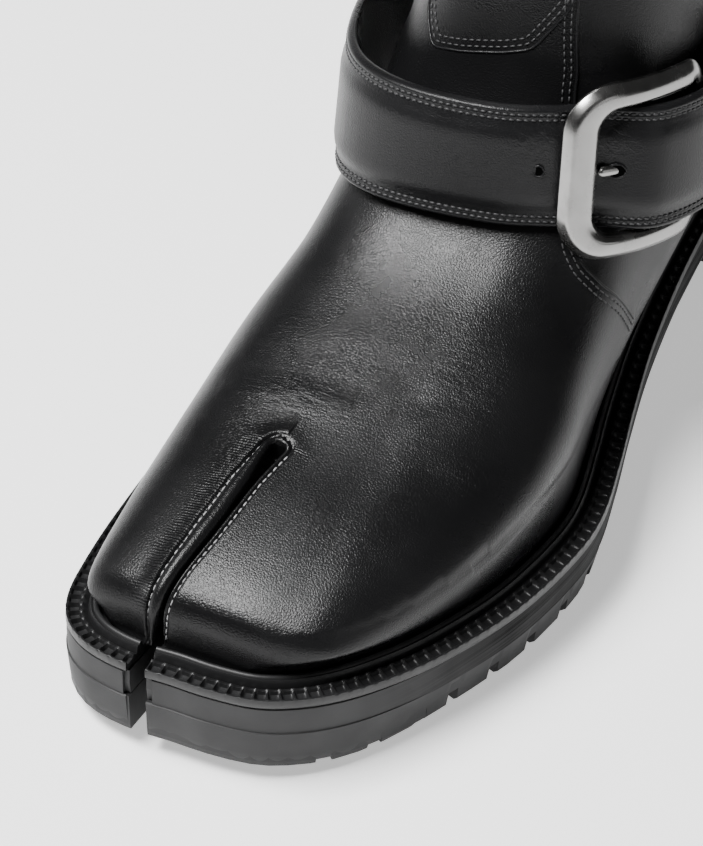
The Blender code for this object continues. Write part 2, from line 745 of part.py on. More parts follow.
def build_upper(parts, leather):
    grid, sections = upper_grid()
    closed = [False] + [row[1] > 0 for row in sections]
    inner = grid + inward_normals(grid, closed) * WALL
    centre = COLUMNS_MEDIAL + len(GROOVE) - 1
    along = np.array((1.0, -CLEFT_SLANT, 0.0))
    for k, floor in enumerate(groove_floor(grid)):
        pressed = np.linalg.norm(floor) > 0
        for j, (half_gaps, lips, depth, walls) in enumerate(GROOVE):
            for side in (-1, 1) if j else (1,):
                grid[k][centre + side * j] += floor * depth
                inner[k][centre + side * j] += floor * depth
                if pressed:
                    inner[k][centre + side * j] += along * side * walls * WALL
    bm = bmesh.new()
    outside = sheet_vertices(bm, grid, closed)
    inside = sheet_vertices(bm, inner, closed)
    sheet_faces(bm, outside)
    sheet_faces(bm, inside)
    rim = [line[0] for line, joined in zip(outside, closed) if not joined]
    rim = rim[::-1] + outside[0][1:-1] + [line[-1] for line, joined in zip(outside, closed) if not joined]
    inner_rim = [line[0] for line, joined in zip(inside, closed) if not joined]
    inner_rim = inner_rim[::-1] + inside[0][1:-1]
    inner_rim += [line[-1] for line, joined in zip(inside, closed) if not joined]
    first_closed = closed.index(True)
    rim.append(outside[first_closed][0])
    inner_rim.append(inside[first_closed][0])
    bridge(bm, [rim, inner_rim])
    bridge(bm, [outside[-1][:-1], inside[-1][:-1]])
    return object_from("upper", bm, parts, leather, smooth_angle=60)


def build_insole(parts, tools, lining):
    outline = welt_outline()
    edge = inset(outline, lambda x, y: welt_out(x, y) + WALL + INSOLE_GAP)
    low = welt_top() + PIECE_GAP
    bm = slab(((edge, low), (edge, low + INSOLE_THICK)))
    insole = object_from("insole", bm, parts, lining)
    half = CLEFT_HALF_GAP + 2 * CLEFT_LIP
    front = -LENGTH / 2
    back = front + WELT_OUT_FRONT + CLEFT_DEPTH + 2 * WALL + INSOLE_GAP
    notch = box(cleft_x(front) - half, cleft_x(back) + half, front, back, 0, LENGTH)
    cut(insole, [object_from("cleft_cutter", notch, tools)])
    bend(insole, lambda co: lift(co.y), step=14 * MM)

def strap_axes():
    """The strap's ring: its middle, and its directions forwards, across to the outer side and up."""
    turn = Euler((math.radians(-STRAP_TILT), math.radians(-STRAP_ROLL), 0.0)).to_matrix()
    middle = Vector((STRAP_ACROSS, STRAP_ALONG - LENGTH / 2, STRAP_UP))
    return middle, turn @ Vector((0, -1, 0)), turn @ Vector((1, 0, 0)), turn @ Vector((0, 0, 1))


def strap_place(angle, height, reach):
    """A point round the ankle: angle in radians from the front towards the outer side."""
    middle, forward, outer, up = strap_axes()
    height += STRAP_REAR_RISE * smooth_step((abs(angle) - math.pi / 3) / (math.pi * 2 / 3))
    return middle + up * height + (forward * math.cos(angle) + outer * math.sin(angle)) * reach


def shaft_reach(tree, angle, height):
    """Distance from the strap's axis out to the upper's surface."""
    near = strap_place(angle, height, 0.0)
    far = strap_place(angle, height, LENGTH)
    hit = tree.ray_cast(far, (near - far).normalized())[0]
    return (hit - near).length


def standoff(angle):
    """How far the strap's upper edge stands off the shaft, most on the inner side of the instep."""
    turn = math.degrees(angle)
    return STRAP_STANDOFF * smooth_step((turn + 150) / 60) * smooth_step((60 - turn) / 60)


class Ring:
    """The ankle under the strap, measured once: places are given by length along it from the front."""

    def __init__(self, tree):
        self.angles = np.radians(np.linspace(-180, 180, 181))
        half = STRAP_WIDTH / 2
        rows = [[shaft_reach(tree, angle, height) for height in (-half, 0.0, half)] for angle in self.angles]
        low, middle, high = np.array(rows).T
        high += np.array([standoff(angle) for angle in self.angles])
        proud = np.maximum(0.0, middle - (low + high) / 2)
        self.low = self.smoothed(low + proud)
        self.high = self.smoothed(high + proud)
        reach = (self.low + self.high) / 2
        points = np.stack([reach * np.cos(self.angles), reach * np.sin(self.angles)], axis=1)
        walked = np.concatenate([[0.0], np.cumsum(np.linalg.norm(np.diff(points, axis=0), axis=1))])
        self.walked = walked - np.interp(0.0, self.angles, walked)

    @staticmethod
    def smoothed(values):
        """Average with the neighbours, then raise the whole to stay outside the first values."""
        around = np.array([np.roll(values[:-1], step) for step in range(-3, 4)])
        even = np.append(around.mean(axis=0), around.mean(axis=0)[0])
        return even + max(0.0, (values - even).max())

    def place(self, along, height, away):
        angle = np.interp(along, self.walked, self.angles)
        share = height / STRAP_WIDTH + 0.5
        low = np.interp(angle, self.angles, self.low)
        high = np.interp(angle, self.angles, self.high)
        return strap_place(angle, height, low + (high - low) * share + away)


def buckle_lift(along):
    """How far the stiff frame keeps the leather off the ankle's curve at its pivot end."""
    rise = smooth_step((along - CLIMB_START) / (PIVOT_ALONG - CLIMB_START))
    return BUCKLE_LIFT * rise * smooth_step((PIVOT_ALONG + 40 * MM - along) / (34 * MM))


def strap_offset(along):
    """Height of the strap's inner face over the ankle: it climbs over the pivot, then lies on the anchor."""
    climb = smooth_step((along - CLIMB_START) / (CLIMB_END - CLIMB_START))
    fall = smooth_step((along - PIVOT_ALONG - 8 * MM) / (24 * MM))
    over_pivot = pivot_height() - BUCKLE_LIFT + PIVOT_RADIUS + HOOK_THICK + 2 * PIECE_GAP
    over_anchor = STRAP_GAP + ANCHOR_THICK + PIECE_GAP
    rise = (over_pivot - STRAP_GAP) * climb + (over_anchor - over_pivot) * fall
    return STRAP_GAP + rise + buckle_lift(along)


def pivot_height():
    return STRAP_GAP + ANCHOR_THICK + PIECE_GAP + PIVOT_RADIUS + BUCKLE_LIFT


def band_section(width, thick, edge_thick, edge_band):
    """Cross-section of a padded band: (height across it, distance from its inner face)."""
    half = width / 2
    bevel = 0.25 * edge_thick
    rise = thick - edge_thick
    upper = [(half - bevel, 0.0), (half, bevel), (half, edge_thick - bevel), (half - bevel, edge_thick)]
    if rise > 0:
        upper += [(half - edge_band, edge_thick), (half - edge_band - rise, thick)]
    return upper + [(-height, away) for height, away in reversed(upper)]


def swept(name, collection, finish, ring, stations, sharp=50):
    """A solid through closed sections round the ankle: stations of (along, height, away) points."""
    bm = bmesh.new()
    loops = [[bm.verts.new(ring.place(*point)) for point in station] for station in stations]
    bridge(bm, loops)
    bm.faces.new(loops[0])
    bm.faces.new(loops[-1])
    return object_from(name, bm, collection, finish, smooth_angle=sharp)


def band(name, collection, finish, ring, places, section, offset):
    stations = [[(along, height, offset(along) + away) for height, away in section] for along in places]
    return swept(name, collection, finish, ring, stations)


def rod_stations(points, radius, sides=8):
    """Sections of a round rod that runs along the ankle through (along, away) points."""
    stations = []
    for k, (along, away) in enumerate(points):
        before = points[max(k - 1, 0)]
        after = points[min(k + 1, len(points) - 1)]
        run = Vector((after[0] - before[0], after[1] - before[1])).normalized()
        station = []
        for turn in np.arange(sides) * 2 * math.pi / sides:
            side, out = math.cos(turn) * radius, math.sin(turn) * radius
            station.append((along - run.y * out, side, away + run.x * out))
        stations.append(station)
    return stations


def prong_path():
    """The prong lies under the strap at the pivot, comes up through the hole and ends on the front bar."""
    start = PIVOT_ALONG - PIVOT_RADIUS - 1.2 * MM
    tip = BUCKLE_FRONT + BUCKLE_FRONT_BAR + PIECE_GAP
    low = pivot_height()
    high = STRAP_GAP + STRAP_THICK + PIECE_GAP + PRONG_RADIUS
    shares = np.linspace(0, 1, 9)
    return [(start + (tip - start) * share, low + (high - low) * smooth_step(share)) for share in shares]


def build_strap(parts, tools, ring, leather):
    places = np.concatenate([
        np.linspace(ring.walked[0] + SEAM_GAP, -60 * MM, 14)[:-1],
        np.linspace(-60 * MM, STRAP_TIP, 32),
    ])
    section = band_section(STRAP_WIDTH, STRAP_THICK, STRAP_EDGE_THICK, STRAP_EDGE_BAND)
    strap = band("strap", parts, leather, ring, places, section, strap_offset)
    points = prong_path()
    points = points[:-1] + [(points[-1][0] - 4 * MM, points[-1][1])]
    slot = swept("slot_cutter", tools, None, ring, rod_stations(points, PRONG_RADIUS + PIECE_GAP))
    turns = np.arange(10) * 2 * math.pi / 10
    hole = []
    for away in (-CUTTER_PAST, STRAP_GAP + STRAP_THICK + CUTTER_PAST):
        hole.append([(SPARE_HOLE + math.cos(t) * HOLE_RADIUS, math.sin(t) * HOLE_RADIUS, away) for t in turns])
    cut(strap, [slot, swept("hole_cutter", tools, None, ring, hole)])
    strap.data.shade_smooth()
    strap.data.set_sharp_from_angle(angle=math.radians(50))


def build_anchor(parts, tools, ring, leather):
    """The short strap from the back seam, folded round the buckle's pivot bar."""
    places = np.linspace(ring.walked[-1] - SEAM_GAP, PIVOT_ALONG + 10 * MM, 18)
    half = ANCHOR_WIDTH / 2
    stations = []
    for along in places:
        low = STRAP_GAP + buckle_lift(along)
        high = low + ANCHOR_THICK
        stations.append([(along, -half, low), (along, half, low), (along, half, high), (along, -half, high)])
    centre = pivot_height()
    inner = PIVOT_RADIUS + PIECE_GAP
    fold = []
    for turn in np.radians(np.linspace(-90, 100, 8)):
        ahead = PIVOT_ALONG - inner * math.cos(turn)
        up = centre + inner * math.sin(turn)
        outer_ahead = PIVOT_ALONG - (inner + HOOK_THICK) * math.cos(turn)
        outer_up = max(STRAP_GAP + BUCKLE_LIFT, centre + (inner + HOOK_THICK) * math.sin(turn))
        fold.append([(outer_ahead, -half, outer_up), (outer_ahead, half, outer_up), (ahead, half, up),
                     (ahead, -half, up)])
    anchor = swept("strap_anchor", parts, leather, ring, stations + fold)
    slot = [[(along, height, away) for height, away in ((-3 * MM, -MM), (3 * MM, -MM), (3 * MM, 12 * MM),
                                                        (-3 * MM, 12 * MM))]
            for along in (PIVOT_ALONG - 8 * MM, PIVOT_ALONG + 5 * MM)]
    cut(anchor, [swept("prong_slot_cutter", tools, None, ring, slot)])
    return anchor


def build_buckle(parts, tools, ring, metal):
    """The frame: a rounded rectangle round the ankle whose rear side is the thin pivot bar."""
    half_long = (PIVOT_ALONG - BUCKLE_FRONT - BUCKLE_FRONT_BAR / 2) / 2
    middle = BUCKLE_FRONT + BUCKLE_FRONT_BAR / 2 + half_long
    half_high = STRAP_WIDTH / 2 + BUCKLE_CLEARANCE + BUCKLE_BAR / 2
    path = []
    for centre_x, centre_y, first in ((-1, 1, 90), (-1, -1, 180), (1, -1, 270), (1, 1, 0)):
        corner = BUCKLE_CORNER if centre_x < 0 else PIVOT_CORNER
        for turn in np.radians(np.linspace(first, first + 90, 6)):
            path.append((centre_x * (half_long - corner) + corner * math.cos(turn),
                         centre_y * (half_high - corner) + corner * math.sin(turn),
                         math.cos(turn), math.sin(turn)))
    bm = bmesh.new()
    loops = []
    front_height = STRAP_GAP + STRAP_THICK + 2 * PIECE_GAP + BUCKLE_THICK / 2
    for x, y, out_x, out_y in path:
        share = (x + half_long) / (2 * half_long)
        thin = smooth_step((share - 0.86) / 0.14)
        broad = smooth_step(1 - share / 0.3)
        wide = BUCKLE_BAR + (2 * PIVOT_RADIUS - BUCKLE_BAR) * thin + (BUCKLE_FRONT_BAR - BUCKLE_BAR) * broad
        thick = BUCKLE_THICK + (2 * PIVOT_RADIUS - BUCKLE_THICK) * thin
        height = front_height + (pivot_height() - front_height) * smooth_step(share)
        bevel = 0.3 * thick
        loop = []
        for across, up in ((-wide / 2, bevel - thick / 2), (bevel - wide / 2, -thick / 2),
                           (wide / 2 - bevel, -thick / 2), (wide / 2, bevel - thick / 2),
                           (wide / 2, thick / 2 - bevel), (wide / 2 - bevel, thick / 2),
                           (bevel - wide / 2, thick / 2), (-wide / 2, thick / 2 - bevel)):
            spot = ring.place(middle + x + out_x * across, y + out_y * across, height + up)
            loop.append(bm.verts.new(spot))
        loops.append(loop)
    bridge(bm, loops, closed=True)
    object_from("buckle_frame", bm, parts, metal, smooth_angle=40)


def build_prong(parts, ring, metal):
    """The prong, a bent rod that comes up through the strap."""
    swept("buckle_prong", parts, metal, ring, rod_stations(prong_path(), PRONG_RADIUS))


def build_keeper(parts, ring, leather):
    """The loop that holds the strap's end, an arch over the strap that stands beside the anchor."""
    half = STRAP_WIDTH / 2 + BUCKLE_CLEARANCE
    under = max(strap_offset(KEEPER_ALONG + side * KEEPER_WIDTH / 2) for side in (-1, 1))
    top = under + STRAP_THICK + 2 * PIECE_GAP
    thick = KEEPER_THICK
    section = (
        (-half - thick, 0.5 * MM), (-half, 0.5 * MM), (-half, top), (half, top), (half, 0.5 * MM),
        (half + thick, 0.5 * MM), (half + thick, top + 0.6 * thick), (half, top + thick),
        (-half, top + thick), (-half - thick, top + 0.6 * thick),
    )
    places = KEEPER_ALONG + np.linspace(-0.5, 0.5, 4) * KEEPER_WIDTH
    stations = [[(along, height, away) for height, away in section] for along in places]
    return swept("keeper", parts, leather, ring, stations)


def settle(parts):
    """Move every piece so that the boot's box stands over the origin."""
    corners = np.array([tuple(vert.co) for made in parts.objects for vert in made.data.vertices])
    middle = (corners.min(axis=0) + corners.max(axis=0)) / 2
    shift = Vector((-middle[0], -middle[1], 0.0))
    for made in parts.objects:
        for vert in made.data.vertices:
            vert.co += shift


def main():
    for old in list(bpy.data.objects):
        bpy.data.objects.remove(old)
    parts = bpy.data.collections.new("split_toe_boot")
    tools = bpy.data.collections.new("cutters")
    bpy.context.scene.collection.children.link(parts)
    bpy.context.scene.collection.children.link(tools)
    leather = material("black_leather", (0.012, 0.012, 0.013), 0.36)
    rubber = material("black_rubber", (0.02, 0.02, 0.021), 0.62)
    welt_rubber = material("welt_rubber", (0.014, 0.014, 0.015), 0.5)
    steel = material("brushed_steel", (0.55, 0.55, 0.54), 0.28, 1.0)
    lining = material("lining_leather", (0.09, 0.07, 0.055), 0.7)
    build_outsole(parts, tools, rubber)
    build_midsole(parts, tools, rubber)
    build_welt(parts, tools, welt_rubber)
    build_heel(parts, tools, rubber)
    upper = build_upper(parts, leather)
    graph = bpy.context.evaluated_depsgraph_get()
    tree = BVHTree.FromObject(upper, graph)
    ankle = Ring(tree)
    build_strap(parts, tools, ankle, leather)
    build_anchor(parts, tools, ankle, leather)
    build_buckle(parts, tools, ankle, steel)
    build_prong(parts, ankle, steel)
    build_keeper(parts, ankle, leather)
    build_insole(parts, tools, lining)
    settle(parts)


main()
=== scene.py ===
"""The looks of a split-toe buckle boot, left foot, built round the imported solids.

Metres, in the frame of the solids. The functions for outlines and sections work before the boot is moved over
the origin, so their points get SHIFT added.
"""

import math

import bpy
import numpy as np
from mathutils import Euler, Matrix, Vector
from mathutils.bvhtree import BVHTree

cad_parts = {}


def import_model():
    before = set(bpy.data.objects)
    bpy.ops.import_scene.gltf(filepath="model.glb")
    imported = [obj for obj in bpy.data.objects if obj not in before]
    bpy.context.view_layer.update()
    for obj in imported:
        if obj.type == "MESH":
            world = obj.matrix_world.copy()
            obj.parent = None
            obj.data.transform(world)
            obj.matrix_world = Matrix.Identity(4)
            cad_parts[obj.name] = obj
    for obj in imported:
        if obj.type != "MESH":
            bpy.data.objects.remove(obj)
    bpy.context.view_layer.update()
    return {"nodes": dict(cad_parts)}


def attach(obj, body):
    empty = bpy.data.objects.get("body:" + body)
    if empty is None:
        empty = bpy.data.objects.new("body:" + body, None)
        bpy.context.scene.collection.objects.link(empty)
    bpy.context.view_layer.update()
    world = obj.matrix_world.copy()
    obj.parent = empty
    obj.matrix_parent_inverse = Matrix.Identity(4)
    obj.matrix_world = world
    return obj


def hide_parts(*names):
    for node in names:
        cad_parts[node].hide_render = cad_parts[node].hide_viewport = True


MM = 0.001
SHIFT = np.array((0.0027683, -0.000962, 0.0))

# Overall sizes
LENGTH = 304 * MM
BALL_WIDTH = 112.5 * MM
BOOT_HEIGHT = 232 * MM
HEEL_RISE = 16.5 * MM
TOE_SPRING = 6.5 * MM

# Sole stack, from the floor up
LUG_DEPTH = 6 * MM
OUTSOLE_THICK = 12 * MM
MIDSOLE_THICK = 8 * MM
WELT_THICK = 3 * MM
WAIST_THINNING = 1.5 * MM
PIECE_GAP = 0.3 * MM

# Set-in of each layer's edge from the welt's edge
OUTSOLE_SET_IN = 1.4 * MM
TREAD_SET_IN = 3 * MM
TREAD_BEVEL = 1.6 * MM
MIDSOLE_SET_IN = 0.9 * MM

# Welt and bead
WELT_OUT_FRONT = 9.2 * MM
WELT_OUT_HEEL = 7 * MM
WELT_SEAT = 9 * MM
RIB_BAND = 5.4 * MM
GROOVE_DEPTH = 0.6 * MM
BEAD_RISE = 2.1 * MM
BEAD_GAP = 1.1 * MM

# Upper
WALL = 2 * MM
HELD_HEIGHT = 4 * MM
HELD_SLOPE = 0.15

# Split toe
SLIT_ACROSS = -26.2 * MM
CLEFT_ACROSS = -24 * MM
SLIT_WIDTH = 4.6 * MM
SLIT_LENGTH = 20 * MM

# Tread
NOTCH_PITCH = 14.2 * MM
NOTCH_WIDTH = 3.2 * MM
FIRST_NOTCH = 48 * MM
TREAD_END = 150 * MM

# Strap and buckle
STRAP_WIDTH = 33.1 * MM
STRAP_THICK = 4 * MM
STRAP_GAP = 0.6 * MM
STRAP_STANDOFF = 13.4 * MM
STRAP_ACROSS = -3 * MM
STRAP_ALONG = 221 * MM
STRAP_UP = 76 * MM
STRAP_TILT = 15.75
STRAP_ROLL = 4.25
STRAP_REAR_RISE = 22 * MM
STRAP_TIP = 122 * MM
SEAM_GAP = 1 * MM
CLIMB_START = 33 * MM
CLIMB_END = 57 * MM
PIVOT_ALONG = 70 * MM
BUCKLE_LIFT = 5.2 * MM
PIVOT_RADIUS = 1.7 * MM
ANCHOR_WIDTH = 30 * MM
ANCHOR_THICK = 1.8 * MM
HOOK_THICK = 1.1 * MM
BUCKLE_FRONT = 28 * MM
BUCKLE_FRONT_BAR = 9 * MM
BUCKLE_BAR = 6.3 * MM
BUCKLE_THICK = 5 * MM
BUCKLE_CORNER = 9 * MM
PIVOT_CORNER = 4 * MM
BUCKLE_CLEARANCE = 0.7 * MM
PRONG_RADIUS = 1.6 * MM
SPARE_HOLE = 22.8 * MM
KEEPER_ALONG = 103 * MM
KEEPER_WIDTH = 10 * MM
KEEPER_THICK = 1.6 * MM

# Outline of the welt, clockwise from the front: along is a share of LENGTH from the toe,
# across of BALL_WIDTH.
OUTLINE = (
    (0.0050, -0.160), (0.0060, -0.070), (0.0120, 0.030), (0.0260, 0.105), (0.0520, 0.185),
    (0.0900, 0.262), (0.1400, 0.337), (0.2150, 0.418), (0.2900, 0.463), (0.3450, 0.468),
    (0.4100, 0.434), (0.4750, 0.392), (0.5500, 0.352), (0.6400, 0.326), (0.7400, 0.318),
    (0.8300, 0.312), (0.9000, 0.282), (0.9500, 0.215), (0.9850, 0.110), (1.0000, -0.030),
    (0.9850, -0.170), (0.9500, -0.275), (0.9000, -0.342), (0.8300, -0.374), (0.7300, -0.388),
    (0.6200, -0.414), (0.5200, -0.450), (0.4300, -0.488), (0.3400, -0.515), (0.2500, -0.523),
    (0.1650, -0.520), (0.1050, -0.506), (0.0620, -0.485), (0.0330, -0.447), (0.0140, -0.385),
    (0.0050, -0.310), (0.0030, -0.230),
)

# Sections of the upper from the toe to the collar. foot is where the section's ends meet the feather line, as
# a share of LENGTH. back is the height of a section that closes behind the heel, as a share of BOOT_HEIGHT,
# or 0 where the section is an arch that stands on the feather line. crest is the section's highest point.
# medial and lateral are its half widths where it is widest, as shares of BALL_WIDTH, shoulder is the height
# of that place as a share of the section, and square is how boxy it is above.
SECTIONS = (
    # foot, back, crest_along, crest_up, ridge, medial, lateral, shoulder, square
    (0.050, 0.000, 0.0370, 0.1280, -0.190, 0.400, 0.060, 0.20, 2.90),
    (0.056, 0.000, 0.0380, 0.1480, -0.190, 0.410, 0.090, 0.30, 2.90),
    (0.067, 0.000, 0.0410, 0.1700, -0.185, 0.425, 0.130, 0.34, 2.80),
    (0.083, 0.000, 0.0510, 0.1890, -0.175, 0.435, 0.180, 0.36, 2.70),
    (0.102, 0.000, 0.0730, 0.2040, -0.165, 0.440, 0.220, 0.36, 2.60),
    (0.127, 0.000, 0.1050, 0.2180, -0.150, 0.444, 0.260, 0.36, 2.50),
    (0.158, 0.000, 0.1440, 0.2310, -0.140, 0.446, 0.300, 0.38, 2.45),
    (0.196, 0.000, 0.1900, 0.2450, -0.130, 0.446, 0.338, 0.40, 2.40),
    (0.240, 0.000, 0.2420, 0.2630, -0.120, 0.442, 0.370, 0.42, 2.40),
    (0.290, 0.000, 0.2960, 0.2795, -0.110, 0.434, 0.388, 0.44, 2.40),
    (0.345, 0.000, 0.3455, 0.2975, -0.100, 0.424, 0.386, 0.46, 2.40),
    (0.400, 0.000, 0.3865, 0.3180, -0.090, 0.412, 0.368, 0.47, 2.35),
    (0.455, 0.000, 0.4195, 0.3425, -0.080, 0.400, 0.358, 0.47, 2.35),
    (0.515, 0.000, 0.4457, 0.3730, -0.070, 0.390, 0.356, 0.46, 2.42),
    (0.580, 0.000, 0.4704, 0.4095, -0.060, 0.382, 0.356, 0.44, 2.50),
    (0.650, 0.000, 0.4918, 0.4526, -0.050, 0.376, 0.356, 0.42, 2.55),
    (0.725, 0.000, 0.5099, 0.5000, -0.040, 0.372, 0.353, 0.40, 2.55),
    (0.800, 0.000, 0.5263, 0.5517, -0.035, 0.368, 0.348, 0.38, 2.50),
    (0.862, 0.000, 0.5395, 0.6013, -0.030, 0.364, 0.342, 0.37, 2.45),
    (0.910, 0.000, 0.5510, 0.6510, -0.030, 0.360, 0.336, 0.37, 2.40),
    (0.945, 0.000, 0.5599, 0.6980, -0.030, 0.358, 0.331, 0.38, 2.35),
    (0.966, 0.000, 0.5664, 0.7410, -0.030, 0.358, 0.328, 0.40, 2.30),
    (0.980, 0.175, 0.5717, 0.7800, -0.030, 0.360, 0.326, 0.43, 2.15),
    (0.989, 0.255, 0.5750, 0.8150, -0.030, 0.364, 0.330, 0.45, 2.10),
    (0.987, 0.360, 0.5770, 0.8490, -0.030, 0.370, 0.334, 0.46, 2.10),
    (0.977, 0.480, 0.5783, 0.8815, -0.030, 0.374, 0.338, 0.47, 2.10),
    (0.966, 0.620, 0.5783, 0.9120, -0.030, 0.378, 0.342, 0.48, 2.10),
    (0.959, 0.790, 0.5770, 0.9505, -0.030, 0.382, 0.346, 0.49, 2.10),
    (0.957, 1.000, 0.5740, 1.0000, -0.030, 0.386, 0.350, 0.50, 2.10),
)


def smooth_step(value):
    value = min(max(value, 0.0), 1.0)
    return value * value * (3 - 2 * value)


def catmull(p0, p1, p2, p3, t):
    """A point between p1 and p2 on a smooth curve through all four."""
    return 0.5 * (2 * p1 + (p2 - p0) * t + (2 * p0 - 5 * p1 + 4 * p2 - p3) * t**2
                  + (3 * p1 - p0 - 3 * p2 + p3) * t**3)


def walk(points):
    """Distance walked along a path at each of its points."""
    return np.concatenate([[0.0], np.cumsum(np.linalg.norm(np.diff(points, axis=0), axis=1))])


def at_places(places, walked, points):
    """Points of a path at distances along it."""
    return np.stack([np.interp(places, walked, points[:, k]) for k in range(points.shape[1])], axis=-1)


def inward_directions(outline):
    tangent = np.roll(outline, -1, axis=0) - np.roll(outline, 1, axis=0)
    tangent /= np.linalg.norm(tangent, axis=1)[:, None]
    return np.stack([-tangent[:, 1], tangent[:, 0]], axis=1)


def closed_curve(points, between):
    """A smooth closed curve through the points, with new points between each two."""
    points = np.array(points, float)
    count = len(points)
    found = []
    for k in range(count):
        around = [points[(k + step) % count] for step in (-1, 0, 1, 2)]
        for t in np.arange(between + 1) / (between + 1):
            found.append(catmull(*around, t))
    return np.array(found)


def welt_outline(between=1):
    scaled = [((along - 0.5) * LENGTH, across * BALL_WIDTH) for along, across in OUTLINE]
    return closed_curve([(x, y) for y, x in scaled], between)


def from_toe(y):
    return y + LENGTH / 2


def welt_out(y):
    """Width of the welt outside the upper."""
    share = smooth_step((from_toe(y) / LENGTH - 0.4) / 0.35)
    return WELT_OUT_FRONT + (WELT_OUT_HEEL - WELT_OUT_FRONT) * share


def inset(outline, distance):
    """Move each point of an outline inwards by distance(x, y)."""
    lengths = np.array([distance(x, y) for x, y in outline])
    return outline + inward_directions(outline) * lengths[:, None]


def lift(y):
    """How far the sole is bent up from its flat shape: toe spring in front, the heel's rise behind."""
    u = from_toe(y) / LENGTH
    spring = TOE_SPRING * max(0.0, 1 - u / 0.25) ** 2
    return spring + HEEL_RISE * smooth_step((u - 0.37) / 0.6)


def welt_top():
    return OUTSOLE_THICK + PIECE_GAP + MIDSOLE_THICK + PIECE_GAP + WELT_THICK


def edge_places(outline, first, last, pitch):
    """Points at an even pitch along both sides of an outline, by distance from the toe."""
    found = []
    for side in (1, -1):
        picked = outline[outline[:, 0] * side > 0]
        toe_gap = from_toe(picked[:, 1])
        picked = picked[(first - pitch < toe_gap) & (toe_gap < last + pitch)]
        picked = picked[np.argsort(picked[:, 1])]
        walked = walk(picked)
        begun = np.interp(first, from_toe(picked[:, 1]), walked)
        found.append(at_places(np.arange(begun, walked[-1], pitch), walked, picked))
    places = np.concatenate(found)
    return places[from_toe(places[:, 1]) <= last]


def feather():
    """The line where the upper meets the welt."""
    return inset(welt_outline(5), lambda x, y: welt_out(y))


def feather_at(curve, y, side):
    """x of the feather line at y, on the medial (-1) or lateral (1) side."""
    picked = []
    for k in range(len(curve)):
        (x0, y0), (x1, y1) = curve[k], curve[(k + 1) % len(curve)]
        if (y0 - y) * (y1 - y) <= 0 and y0 != y1:
            picked.append(x0 + (x1 - x0) * (y - y0) / (y1 - y0))
    return max(picked) if side > 0 else min(picked)


def feather_height(y):
    return welt_top() + PIECE_GAP + lift(y)


def front_section(curve, foot_y, count):
    """The feather line round the toe from the medial end at foot_y to the lateral one."""
    front = [(x, y) for x, y in curve if y < foot_y]
    front.sort(key=lambda point: point[0])
    ends = [(feather_at(curve, foot_y, side), foot_y) for side in (-1, 1)]
    path = [ends[0]] + front + [ends[1]]
    return resampled(np.array([(x, y, feather_height(y)) for x, y in path]), count)


def resampled(path, count):
    walked = walk(path)
    return at_places(np.linspace(0, walked[-1], count), walked, path)


def section(row, curve, count):
    """A dense curve along one section of the upper, from its medial end over the crest to its lateral end."""
    foot, back, crest_along, crest_up, ridge, medial, lateral, shoulder, square = row
    foot_y = (foot - 0.5) * LENGTH
    crest = np.array(((crest_along - 0.5) * LENGTH, crest_up * BOOT_HEIGHT))
    closed = back > 0
    if not closed:
        foot_y = min(foot_y, curve[:, 1].max() - 0.3 * MM)
    base = np.array((foot_y, back * BOOT_HEIGHT if closed else feather_height(foot_y)))
    found = []
    for side, wide in ((-1, -medial), (1, lateral)):
        wide_x = wide * BALL_WIDTH
        end_x = ridge * BALL_WIDTH if closed else feather_at(curve, foot_y, side)
        if not closed and abs(end_x) > abs(wide_x):
            wide_x = end_x
        middle_x = ridge * BALL_WIDTH
        base_share = min(0.9999, max(0.0, (end_x - middle_x) / (wide_x - middle_x)))
        drop = shoulder / (1 - base_share**2) ** 0.5
        start = -math.asin(min(1.0, shoulder / drop))
        points = []
        for t in np.linspace(0, 1, count // 2):
            angle = start + (math.pi / 2 - start) * t
            if angle < 0:
                high = shoulder + drop * math.sin(angle)
                out = math.cos(angle)
            else:
                high = shoulder + (1 - shoulder) * math.sin(angle) ** (2 / square)
                out = max(0.0, math.cos(angle)) ** (2 / square)
            place = base + (crest - base) * high
            points.append((middle_x + (wide_x - middle_x) * out, place[0], place[1]))
        found.append(points)
    return np.array(found[0] + found[1][::-1][1:])


def cleft_x(y):
    """x of the cleft's dark line, which bends across the toes."""
    return np.interp(from_toe(y) / MM, CLEFT_LINE[0], CLEFT_LINE[1]) * MM


def section_rows():
    """Rows of the section table, with smooth rows added between: more of them over the toes."""
    table = np.array(SECTIONS)
    padded = np.vstack([2 * table[0] - table[1], table, 2 * table[-1] - table[-2]])
    rows = []
    for k in range(len(table) - 1):
        between = ROWS_BETWEEN[k]
        for t in np.arange(between + 1) / (between + 1):
            row = catmull(*padded[k : k + 4], t)
            if table[k][1] == 0:
                row[1] = 0.0
            rows.append(row)
    rows.append(table[-1])
    return rows


def held_in(point, curve):
    """Keep a point of the upper inside the bead: close to the feather line it bulges only a little."""
    rise = max(0.0, point[2] - feather_height(point[1]))
    after = np.roll(curve, -1, axis=0) - curve
    share = ((point[:2] - curve) * after).sum(axis=1) / (after**2).sum(axis=1)
    nearest = curve + after * np.clip(share, 0, 1)[:, None]
    gaps = np.linalg.norm(point[:2] - nearest, axis=1)
    best = gaps.argmin()
    outward = np.array((after[best][1], -after[best][0]))
    outward /= np.linalg.norm(outward)
    past = (point[:2] - nearest[best]) @ outward
    free = HELD_SLOPE * min(rise, HELD_HEIGHT) + max(0.0, rise - HELD_HEIGHT)
    if past > free:
        point[:2] -= outward * (past - free)
    return point


